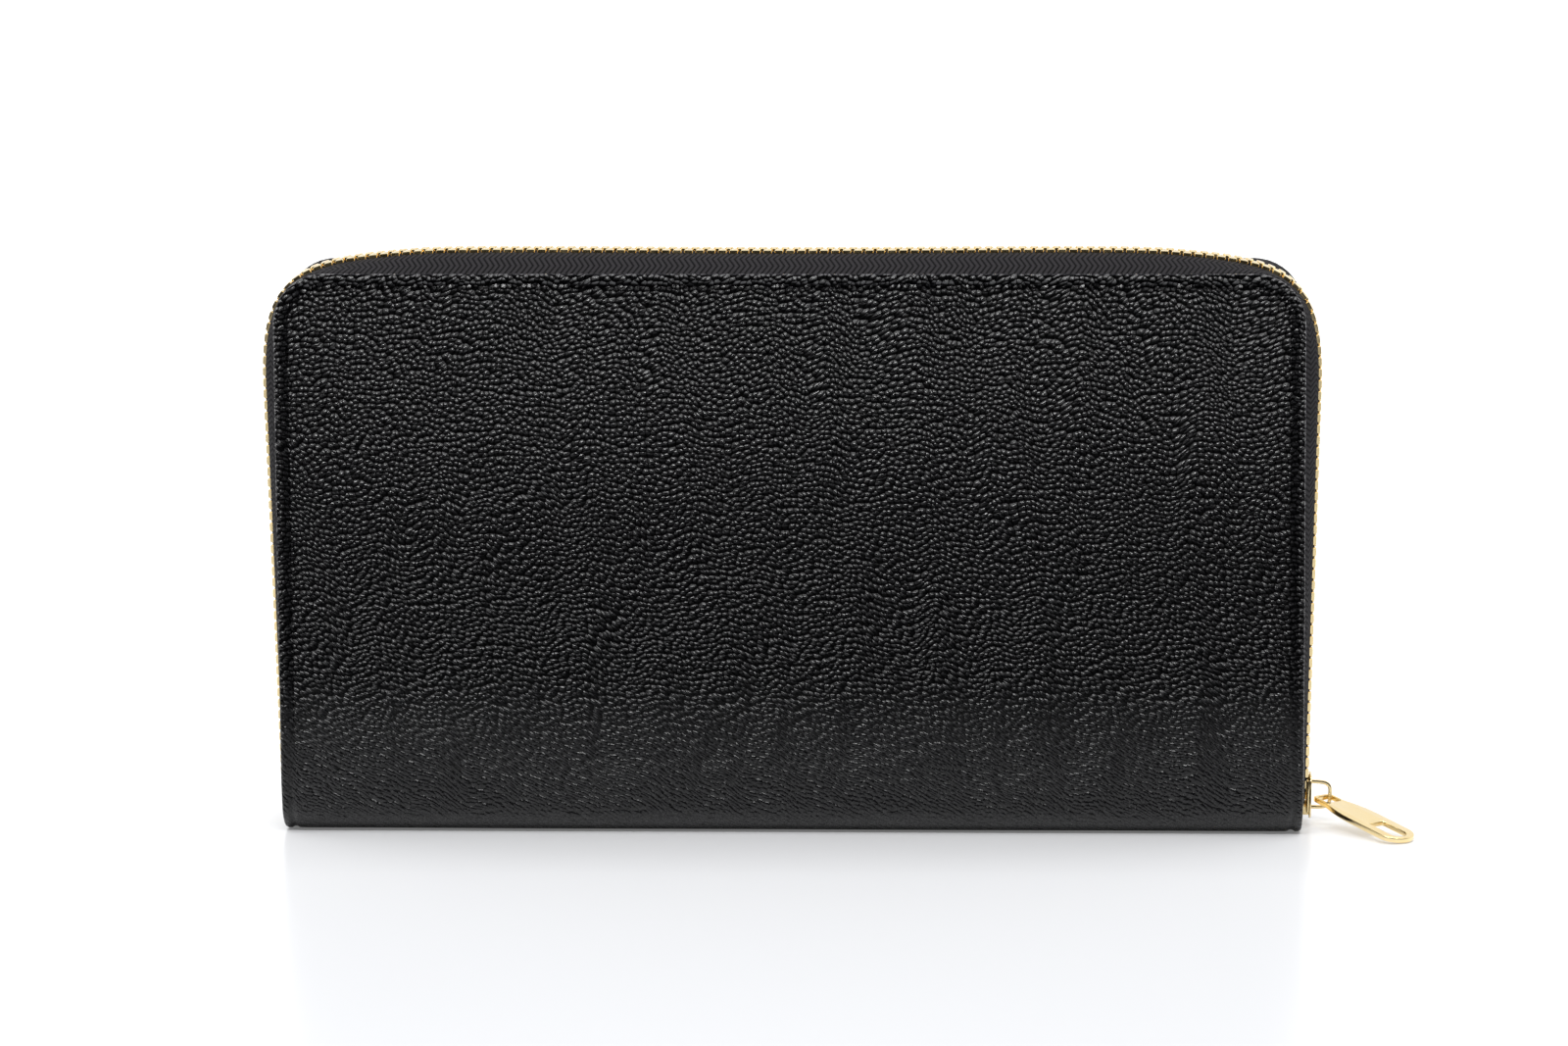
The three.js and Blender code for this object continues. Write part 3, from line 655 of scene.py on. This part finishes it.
def wrapped_panel(name, profile, half_width, top_s, corner, side, material, stands_for, soft=0.0):
    """A sheet over one cover and half the spine. profile is [(inset, h)] from one face round the edge to the
    other, both ends at inset = corner."""
    shape, layer = new_bmesh()
    sides = [0.0, 3.0, 6.0, FLAT]
    sides += [FLAT + ARC * k / 8 for k in range(1, 9)]
    first = FLAT + ARC
    sides += [first + (top_s - corner - first) * (k / 40) ** 1.15 for k in range(1, 41)]
    tops = [(k / 30 - 1) * (half_width - corner) for k in range(61)]
    angles = [math.pi * (1 - k / 20) for k in range(1, 10)]

    def vertex(x, s, h, inset):
        if h > -LEATHER / 2 and soft:
            swell = noise.noise(Vector((x * 0.022, s * 0.03, side * 3.0)))
            h += soft * swell * min(1, inset / 12) * min(1, s / 40)
        v = shape.verts.new(wrap(x, s, h, side))
        v[layer] = Vector((x, s, inset))
        return v

    def ring(inset, h):
        reach = half_width - inset
        left = [vertex(-reach + spine_taper(s), s, h, inset) for s in sides]
        left_arc = [(-(half_width - corner) + (corner - inset) * math.cos(a), a) for a in angles]
        right_arc = [(-x, a) for x, a in reversed(left_arc)]
        rise = corner - inset
        arc = [vertex(x, top_s - corner + rise * math.sin(a), h, inset) for x, a in left_arc]
        top = [vertex(x, top_s - inset, h, inset) for x in tops]
        arc_back = [vertex(x, top_s - corner + rise * math.sin(a), h, inset) for x, a in right_arc]
        right = [vertex(reach - spine_taper(s), s, h, inset) for s in reversed(sides)]
        return left + arc + top + arc_back + right

    rings = [ring(inset, h) for inset, h in profile]
    for a, b in zip(rings, rings[1:]):
        for k in range(len(a) - 1):
            shape.faces.new([a[k], a[k + 1], b[k + 1], b[k]])
    for h in (profile[0][1], profile[-1][1]):
        grid = []
        for s in sides:
            squeeze = 1 - spine_taper(s) / (half_width - corner)
            grid.append([vertex(x * squeeze, s, h, corner) for x in tops])
        for a, b in zip(grid, grid[1:]):
            for k in range(len(a) - 1):
                shape.faces.new([a[k], a[k + 1], b[k + 1], b[k]])
    bmesh.ops.remove_doubles(shape, verts=shape.verts, dist=1e-3)
    bmesh.ops.dissolve_degenerate(shape, dist=1e-4, edges=shape.edges)
    bmesh.ops.holes_fill(shape, edges=[e for e in shape.edges if e.is_boundary])
    piece = finish_piece(shape, name, material, None, stands_for, merge=0)
    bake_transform(piece)
    return piece


def covers():
    """Outer leather with a turned edge and a crease line, and the cloth inside."""
    crease = [(1.15, 0.02), (1.4, -0.1), (1.65, -0.27), (1.95, -0.31)]
    crease += [(2.3, -0.25), (2.6, -0.06), (2.95, 0.02)]
    outer = [(CORNER, -LEATHER), (6, -LEATHER), (1.2, -LEATHER), (0.5, -1.3), (0.15, -1.12), (0, -0.8)]
    outer += [(0.02, -0.5), (0.15, -0.22), (0.42, -0.06), (0.75, 0)] + crease + [(4.5, 0.04), (CORNER, 0.05)]
    cloth = [(CORNER, -3.15), (3, -3.15), (0.2, -3.13), (0, -2.85)]
    cloth += [(0.2, -2.57), (3, -2.55), (CORNER, -2.55)]
    for end, side in ENDS:
        skin_for = [f"{end}_cover_leather"] + (["spine_leather"] if end == "front" else [])
        name = f"{end}_leather"
        wrapped_panel(name, outer, HALF_W, TOP_S, CORNER, side, "grained_leather", skin_for, soft=0.35)
        cloth_for = [f"{end}_lining_panel"] + (["spine_lining"] if end == "front" else [])
        name = f"{end}_lining"
        wide = HALF_W - LINING_IN
        long = TOP_S - LINING_IN
        panel = wrapped_panel(name, cloth, wide, long, CORNER, side, "lining", cloth_for)


# ---------------------------------------------------------------- the main zip
def smooth_section(points, count):
    """Points along a smooth curve through the given ones."""
    done = []
    for i in range(len(points) - 1):
        before, a = points[max(i - 1, 0)], points[i]
        b, after = points[i + 1], points[min(i + 2, len(points) - 1)]
        for k in range(count):
            t = k / count
            done.append(
                (a * 2 + (b - before) * t + (before * 2 - a * 5 + b * 4 - after) * t**2
                 + (a * 3 - before - b * 3 + after) * t**3) / 2
            )
    return done + [points[-1]]


def tapes():
    """The two tapes of the main zip, from the covers to the teeth, each with a beaded inner edge."""
    for end, side in ENDS:
        shape, layer = new_bmesh()
        grid, flat = [], []
        for i in range(TAPE_STATIONS):
            distance = ZIP.length * i / (TAPE_STATIONS - 1)
            p, _, out = ZIP.at(distance)
            edge = cover_edge(p, 0.2)
            bend = max(0.0, 1 - abs(abs(p.x) - 93) / 14) * max(0.0, min(1, (p.y - 80) / 12))
            pucker = 0.22 * bend * math.sin(distance * 1.9 + side)
            key = [(cover_edge(p, SEWN), TAPE_Y), (cover_edge(p, 1.3), TAPE_Y), (edge, TAPE_Y - 0.9)]
            key += [(edge.lerp(p, 0.75) + out * pucker, TAPE_Y / 2 + 0.6), (p, 3.0), (p, 1.75)]
            row = smooth_section([Vector((q.x, side * y, q.y)) for q, y in key], 4)
            reach = 0.0
            coordinates = []
            for a, b in zip([row[0]] + row, row):
                reach += (b - a).length
                coordinates.append((distance, reach))
            grid.append(row)
            flat.append(coordinates)
        shell(shape, layer, grid, 0.5, flat)
        line = [ZIP.point(distance) for distance in range(0, int(ZIP.length), 2)]
        bead = [Vector((p.x, side * 1.95, p.y)) for p in line]
        bar(shape, layer, bead, 0.5, 0.5, (0, 1, 0), 8)
        finish_piece(shape, f"{end}_tape", "zip_tape", f"{end}_cover", [f"{end}_zip_tape"])


def tooth_outline(scale, pitch):
    """One tooth from above, as (along, across): clamped legs, a waist and a round head past the middle."""
    half = [(0.72, 2.95), (0.80, 2.80), (0.80, 1.55), (0.66, 1.2), (0.40, 0.85)]
    half += [(0.42, 0.45), (0.47, 0.15), (0.45, -0.15), (0.28, -0.36)]
    wide = pitch / PITCH
    right = [(a * wide, b * scale) for a, b in half]
    return right + [(-a, b) for a, b in reversed(right)]


def teeth(shape, layer, place, side, first, length, pitch, scale, half_thick):
    """A row of teeth along a line. place gives the point, the direction along and the direction out."""
    outline = tooth_outline(scale, pitch)
    centre = sum(b for _, b in outline) / len(outline)
    for k in range(int((length - first) / pitch)):
        point, along, out = place(first + (k + 0.5) * pitch)
        rings = []
        for level, shrink in ((-1, 0.80), (-0.82, 1), (0.72, 1), (0.93, 0.90), (1, 0.72)):
            ring = []
            for a, b in outline:
                q = point + along * (a * shrink) + out * (level * half_thick)
                v = shape.verts.new((q.x, side * (centre + (b - centre) * (1 - (1 - shrink) * 0.4)), q.y))
                v[layer] = Vector((a, b, 0))
                ring.append(v)
            rings.append(ring)
        for lower, upper in zip(rings, rings[1:]):
            for i in range(len(lower)):
                j = (i + 1) % len(lower)
                shape.faces.new([lower[i], lower[j], upper[j], upper[i]])
        shape.faces.new(rings[0])
        shape.faces.new(rings[-1])


def main_teeth():
    """The two rows of teeth, and a clip at each end of each row."""
    for end, side in ENDS:
        shape, layer = new_bmesh()
        first = FIRST_TOOTH + (PITCH / 2 if side > 0 else 0)
        teeth(shape, layer, ZIP.at, side, first, ZIP.length - FIRST_TOOTH, PITCH, 1.0, 0.9)
        finish_piece(shape, f"{end}_teeth", "gold_metal", f"{end}_cover", [f"{end}_zip_teeth"], merge=0)
        for hand, sign in HANDS:
            shape, layer = new_bmesh()
            x = sign * ZIP_START.x
            low, high = (x - 0.5, 1.5, 5.0), (x + 0.5, 2.7, 6.4)
            block(shape, layer, low, high, 0.22, Matrix.Scale(side, 4, (0, 1, 0)))
            name = f"{end}_zip_stop_{hand}"
            finish_piece(shape, f"{end}_stop_{hand}", "gold_metal", f"{end}_cover", [name], merge=0)


# ---------------------------------------------------------------- sliders and pulls
def arch_path(half_long, rise, foot):
    """The middle line of a slider's bridge, a squared arch."""
    path = [Vector((-half_long, 0, foot))]
    for k in range(29):
        c, s = math.cos(math.pi * (1 - k / 28)), math.sin(math.pi * (1 - k / 28))
        path.append(Vector((half_long * math.copysign(abs(c) ** 0.5, c), 0, rise * abs(s) ** 0.5)))
    return path + [Vector((half_long, 0, foot))]


def slider_outline(half_long, mouth, nose):
    """The plate from above: two round shoulders at the mouth, drawn in to a round nose."""
    steps = 6
    half = []
    r = 0.32 * mouth
    for k in range(steps + 1):
        a = math.pi - math.pi / 2 * k / steps
        half.append((-half_long + r + r * math.cos(a), mouth - r + r * math.sin(a)))
    for k in range(1, 6):
        t = k / 6
        narrowing = (nose - mouth) * (3 * t * t - 2 * t**3)
        half.append((-half_long * 0.35 + half_long * 0.9 * t, mouth + narrowing))
    r = 0.45 * nose
    for k in range(steps + 1):
        a = math.pi / 2 - math.pi / 2 * k / steps
        half.append((half_long - r + r * math.cos(a), nose - r + r * math.sin(a)))
    return half + [(x, -y) for x, y in reversed(half)]


def slider(name, body, node, spec, matrix):
    """Two plates with side lips, a wedge that joins them and an arched bridge for the pull."""
    long = spec["long"]
    plate_t = spec["plate"]
    channel = spec["channel"]
    lip = spec["lip"]
    lip_in = spec["inner"]
    shape, layer = new_bmesh()
    outline = slider_outline(long, spec["mouth"], lip_in + lip)
    for level in (channel + plate_t / 2, -channel - plate_t / 2):
        place = matrix @ Matrix.Translation((0, 0, level))
        plate(shape, layer, [outline], plate_t, 0.16 * spec["size"], place)
    for side in (-1, 1):
        for up in (-1, 1):
            y = sorted((side * lip_in, side * (lip_in + lip)))
            z = sorted((up * spec["slit"], up * (channel + plate_t * 0.6)))
            low, high = (-long * 0.72, y[0], z[0]), (long * 0.8, y[1], z[1])
            block(shape, layer, low, high, 0.14 * spec["size"], matrix)
    deep = channel + plate_t / 2
    block(shape, layer, (-long, -plate_t, -deep), (-long * 0.3, plate_t, deep), 0.15 * spec["size"], matrix)
    path = [p + Vector((0, 0, channel + plate_t)) for p in arch_path(spec["arch"], spec["rise"], -0.3)]
    bar(shape, layer, path, spec["arch_half_wide"], spec["arch_half_thick"], (0, 1, 0), 16, matrix)
    return finish_piece(shape, name, "gold_metal", body, [node], merge=0)


def ellipse(cx, rx, ry, start, end):
    """Points of an arc from start to end, in degrees."""
    steps = 18
    for k in range(steps + 1):
        a = math.radians(start + (end - start) * k / steps)
        yield cx + rx * math.cos(a), ry * math.sin(a)


def main_slider():
    """The slider at the foot of the zip on the right, and its pull."""
    along = (ZIP_SHOULDER - ZIP_START).normalized()
    point = ZIP_START + along * ((SLIDER_Z - ZIP_START.y) / along.y)
    up = Vector((along.x, 0, along.y))
    out = Vector((along.y, 0, -along.x))
    basis = Matrix((up, out.cross(up), out)).transposed().to_4x4()
    matrix = Matrix.Translation((point.x, 0, point.y)) @ basis
    slider("main_slider", SLIDER, "zip_slider", MAIN_SLIDER, matrix)
    joint = next(j for j in frame["joints"] if j["name"] == "pull_tab_hinge")
    turn = Matrix.Rotation(math.radians(PULL_TURN), 4, "Z")
    turn @= Matrix.Rotation(math.radians(PULL_DROOP), 4, "Y")
    matrix = Matrix.Translation(Vector(joint["pos_m"]) / MM) @ turn
    shape, layer = new_bmesh()
    plate(shape, layer, pull_outlines(), PULL_THICK, 0.22, matrix)
    finish_piece(shape, "main_pull", "gold_metal", PULL, ["zip_pull_tab"])


def pull_outlines():
    """The pull from above: bridge slot, a blade that widens, a round end and a D-shaped hole."""
    edge = [(-PULL_ROD, 1.3), (-0.28, 1.75), (0.05, 2.1), (0.6, PULL_NECK - 0.05), (SLOT_END, PULL_NECK)]
    for t in (0.2, 0.4, 0.6, 0.8, 1):
        edge.append((SLOT_END + 8.3 * t, PULL_NECK + (PULL_HALF - PULL_NECK) * (2 * t - t * t)))
    lower = [(x, -y) for x, y in edge]
    outer = lower + list(ellipse(PULL_LENGTH - PULL_HALF, PULL_HALF, PULL_HALF, -90, 90)) + edge[::-1]
    slot = [(PULL_ROD, 1.3), (PULL_ROD + 0.35, SLOT_HALF), (SLOT_END - 0.35, SLOT_HALF), (SLOT_END, 1.3)]
    slot += [(x, -y) for x, y in reversed(slot)]
    start = PULL_LENGTH - HOLE_LENGTH
    hole = [(start, -1.5), (start + 0.25, -HOLE_HALF)]
    hole += list(ellipse(PULL_LENGTH - 1.3 - HOLE_HALF, HOLE_HALF, HOLE_HALF, -90, 90))
    hole += [(start + 0.25, HOLE_HALF), (start, 1.5)]
    return [outer, slot, hole]


# ---------------------------------------------------------------- inside the wallet
def card_pockets():
    """Three stepped strips on each cover, with thumb dips and stitching."""
    for end, side in ENDS:
        lines = []
        for i, (row, bottom, top) in enumerate(CARD_ROWS):
            y = CARD_Y - i * CARD_STEP
            shape, layer = new_bmesh()
            edge = []
            for k in range(97):
                x = CARD_HALF * (k / 48 - 1)
                dip = max(0.0, 1 - (abs(abs(x) - CARD_HALF / 2) / DIP_HALF) ** 2)
                edge.append((x, top - DIP_DEPTH * dip * dip))
            grid, flat = [], []
            for k in range(15):
                t = 1 - (1 - k / 14) ** 1.6
                grid.append([Vector((x, side * y, bottom + (z - bottom) * t)) for x, z in edge])
                flat.append([(x, bottom + (z - bottom) * t) for x, z in edge])
            shell(shape, layer, grid, CARD_THICK, flat)
            name = f"{end}_card_pocket_{row}"
            finish_piece(shape, f"{end}_cards_{row}", "smooth_leather", f"{end}_cover", [name])
            face = side * (y - 0.28)
            for sign in (-1, 1):
                for a, b in ((2.5, 31), (53, CARD_HALF - 2)):
                    a, b = sorted((sign * a, sign * b))
                    lines.append(((a, face, top - 1.6), (b, face, top - 1.6), (0, -side, 0)))
            low = bottom + 1.5 if row == "bottom" else CARD_ROWS[i + 1][2] + 1
            lines.append(((0, face, low), (0, face, top - 2.5), (0, -side, 0)))
            for sign in (-1, 1):
                x = sign * (CARD_HALF - 1.4)
                lines.append(((x, face, low), (x, face, top - 2.5), (0, -side, 0)))
        stitches(f"{end}_card_stitches", lines, f"{end}_cover")


def gussets():
    """A pleated side between the body and each cover, at both ends."""
    for end, side in ENDS:
        for hand, sign in HANDS:
            shape, layer = new_bmesh()
            grid, flat = [], []
            for i in range(25):
                t = i / 24
                z = GUSSET_BOTTOM + GUSSET_HEIGHT * t
                tip = 88 - 16 * t
                key = [(93.6, 8.95), (max(tip + 1, 87.5), 6.9), (tip + 0.4, 5.8)]
                key += [(tip + 0.4, 5.0), (92.2, 3.6)]
                row = smooth_section([Vector((sign * x, side * y, z)) for x, y in key], 6)
                grid.append(row)
                flat.append([(abs(p.x), z) for p in row])
            shell(shape, layer, grid, 0.4, flat)
            name = f"gusset_{end}_{hand}"
            piece = finish_piece(shape, f"{name}_leather", "smooth_leather", None, [name])
            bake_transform(piece)


def coin_pocket():
    """The central pocket's folded cloth, its leather bindings and their stitching."""
    shape, layer = new_bmesh()
    section = [(-COIN_HALF_T, COIN_TOP - (COIN_TOP - 6) * k / 16) for k in range(17)]
    for y in (-1.85, -1.4, -0.7, 0, 0.7, 1.4, 1.85):
        section.append((y, 5.9 - COIN_HALF_T * math.sqrt(1 - (y / COIN_HALF_T) ** 2)))
    section += [(COIN_HALF_T, 6 + (COIN_TOP - 6) * k / 16) for k in range(17)]
    grid, flat = [], []
    for k in range(61):
        x = COIN_HALF * (k / 30 - 1)
        puff = 0.28 * max(0.0, 1 - (x / 86) ** 2)
        swell = []
        for y, z in section:
            out = puff * max(0.0, math.sin(math.pi * (z - 4) / 74))
            swell.append((y + math.copysign(out, y), z))
        grid.append([Vector((x, y, z)) for y, z in swell])
        flat.append([(x, z + 90 * (y > 0)) for y, z in swell])
    shell(shape, layer, grid, 0.7, flat)
    pocket = finish_piece(shape, "coin_pocket_cloth", "lining", ROOT, ["coin_pocket"])
    for hand, sign in HANDS:
        shape, layer = new_bmesh()
        plan = [(86.6, -2.85), (88.6, -2.85), (89.4, -2.5), (89.55, -1.6)]
        plan += [(x, -y) for x, y in reversed(plan)]
        path = smooth_section([Vector((sign * x, y, 0)) for x, y in plan], 3)
        levels = [7 + 73 * k / 24 for k in range(25)]
        grid = [[p + Vector((0, 0, z)) for p in path] for z in levels]
        shell(shape, layer, grid, 0.5, [[(p.y, z) for p in path] for z in levels])
        name = f"coin_pocket_binding_{hand}"
        finish_piece(shape, f"coin_binding_{hand}", "smooth_leather", ROOT, [name])
        lines = [((sign * 87.6, y, 8), (sign * 87.6, y, 79), (0, y, 0)) for y in (-3.1, 3.1)]
        stitches(f"coin_binding_{hand}_stitches", lines, ROOT)


def coin_zip():
    """Tapes, teeth, end stops, slider and pull of the zip that closes the coin pocket."""

    def place(distance):
        return Vector((COIN_START + distance, COIN_Z)), Vector((1, 0)), Vector((0, 1))

    for end, side in ENDS:
        shape, layer = new_bmesh()
        key = [(2.85, 76), (2.85, 80), (2.82, 83.3), (2.5, COIN_Z), (1.3, COIN_Z)]
        profile = smooth_section([Vector((0, side * y, z)) for y, z in key], 4)
        xs = [-82 + 164 * k / 60 for k in range(61)]
        grid = [[Vector((x, p.y, p.z)) for p in profile] for x in xs]
        shell(shape, layer, grid, 0.32, [[(x, 0.35 * k) for k in range(len(profile))] for x in xs])
        finish_piece(shape, f"coin_tape_{end}", "zip_tape", ROOT, [f"coin_zip_tape_{end}"])
        shape, layer = new_bmesh()
        first = COIN_PITCH / 2 if side > 0 else 0
        teeth(shape, layer, place, side, first, COIN_TEETH, COIN_PITCH, 0.56, 0.62)
        finish_piece(shape, f"coin_teeth_{end}", "gold_metal", ROOT, [f"coin_zip_teeth_{end}"], merge=0)
        line = ((-81, side * 3.03, 77.2), (81, side * 3.03, 77.2), (0, side, 0))
        stitches(f"coin_tape_{end}_stitches", [line], ROOT)
    for hand, sign in HANDS:
        shape, layer = new_bmesh()
        x = sorted((sign * 78.4, sign * 80.0))
        block(shape, layer, (x[0], -1.6, COIN_Z - 0.6), (x[1], 1.6, COIN_Z + 0.6), 0.25)
        finish_piece(shape, f"coin_stop_{hand}", "gold_metal", ROOT, [f"coin_zip_stop_{hand}"], merge=0)
    turn = Matrix.Rotation(math.pi, 4, "Z")
    matrix = Matrix.Translation((COIN_SLIDER_X, 0, COIN_Z)) @ turn
    slider("coin_zip_slider_body", COIN_SLIDER, "coin_slider", COIN_ZIP_SLIDER, matrix)
    shape, layer = new_bmesh()
    outer = [(-0.4, -1.6), (-0.1, -1.9), (10.1, -1.9), *ellipse(10.1, 1.9, 1.9, -80, 80)]
    outer += [(10.1, 1.9), (-0.1, 1.9), (-0.4, 1.6)]
    slot = [(0.4, 0.9), (2.6, 0.9), (2.6, -0.9), (0.4, -0.9)]
    outlines = [outer, slot, list(ellipse(10.1, 0.9, 0.9, 0, 340))]
    matrix = Matrix.Translation((COIN_SLIDER_X, 0, COIN_PULL_Z)) @ turn
    plate(shape, layer, outlines, 0.6, 0.15, matrix)
    finish_piece(shape, "coin_zip_pull_plate", "gold_metal", COIN_PULL, ["coin_pull_tab"])


# ---------------------------------------------------------------- studio
def floor():
    """A glossy pale floor with painted light, lighter and glowing to the back, and painted shade far in front."""
    n = Nodes("studio_floor")
    depth = n.new("ShaderNodeSeparateXYZ", n.new("ShaderNodeTexCoord", out=3), out=1)
    # far: painted light, the floor's colour lighter and its glow stronger towards the back.
    far = n.ramp(depth, -0.25, 0.45)
    # near: painted shade, the floor's colour dark far in front, out of view.
    near = n.ramp(depth, -0.9, -0.27)
    pale = n.mix(far, (0.81, 0.82, 0.845), (0.95, 0.95, 0.96))
    n.set(Base_Color=n.mix(near, (0.34, 0.34, 0.36), pale), Roughness=0.24, Specular_IOR_Level=0.35)
    # Painted light: the floor glows, faintly in front and strongly at the back.
    n.set(Emission_Color=(1, 1, 1), Emission_Strength=n.ramp(far, 0.0, 1.0, 0.02, 0.75))
    mesh = bpy.data.meshes.new("studio_floor")
    mesh.from_pydata([(-6, -3, 0), (6, -3, 0), (6, 9, 0), (-6, 9, 0)], [], [(0, 1, 2, 3)])
    mesh.materials.append(n.material)
    plane = bpy.data.objects.new("studio_floor", mesh)
    plane.location.z = -FLOOR_DROP
    bpy.context.scene.collection.objects.link(plane)


def area_light(name, place, aim, size, power):
    """A soft rectangular lamp at place, pointed at aim."""
    light = bpy.data.lights.new(name, "AREA")
    light.shape = "RECTANGLE"
    light.size, light.size_y = size
    light.energy = power
    lamp = bpy.data.objects.new(name, light)
    lamp.location = place
    lamp.rotation_euler = (Vector(aim) - Vector(place)).to_track_quat("-Z", "Y").to_euler()
    bpy.context.scene.collection.objects.link(lamp)


def studio_world():
    """A white room behind and above, dark on the side that faces the front of the wallet."""
    world = bpy.data.worlds.new("studio")
    world.use_nodes = True
    tree = world.node_tree
    place = tree.nodes.new("ShaderNodeTexCoord")
    parts = tree.nodes.new("ShaderNodeSeparateXYZ")
    tree.links.new(place.outputs["Generated"], parts.inputs[0])
    ramp = tree.nodes.new("ShaderNodeMapRange")
    ramp.interpolation_type = "SMOOTHSTEP"
    tree.links.new(parts.outputs[1], ramp.inputs[0])
    for i, value in ((1, -0.6), (2, 0.25), (3, 0.02), (4, 1.0)):
        ramp.inputs[i].default_value = value
    tree.links.new(ramp.outputs[0], tree.nodes["Background"].inputs[1])
    tree.nodes["Background"].inputs[0].default_value = (1, 1, 1, 1)
    return world


def studio():
    """Floor, room light, two soft lamps and the camera."""
    floor()
    scene = bpy.context.scene
    scene.world = studio_world()
    scene.view_settings.view_transform = "Standard"
    area_light("overhead", OVERHEAD_PLACE, OVERHEAD_AIM, OVERHEAD_SIZE, OVERHEAD_POWER)
    area_light("front", FRONT_PLACE, FRONT_AIM, FRONT_SIZE, FRONT_POWER)
    camera = bpy.data.objects.new("camera", bpy.data.cameras.new("camera"))
    camera.data.lens = CAMERA_LENS
    camera.data.sensor_width = CAMERA_SENSOR
    camera.data.clip_start = 0.05
    level = math.cos(CAMERA_ELEVATION)
    sideways = math.sin(CAMERA_AZIMUTH) * level
    forwards = -math.cos(CAMERA_AZIMUTH) * level
    back = Vector((sideways, forwards, math.sin(CAMERA_ELEVATION)))
    camera.location = CAMERA_AIM + back * CAMERA_DISTANCE
    roll = Quaternion((0, 0, 1), CAMERA_ROLL)
    camera.rotation_euler = ((-back).to_track_quat("-Z", "Y") @ roll).to_euler()
    scene.collection.objects.link(camera)
    scene.camera = camera


studio()
covers()
tapes()
main_teeth()
main_slider()
card_pockets()
gussets()
coin_pocket()
coin_zip()
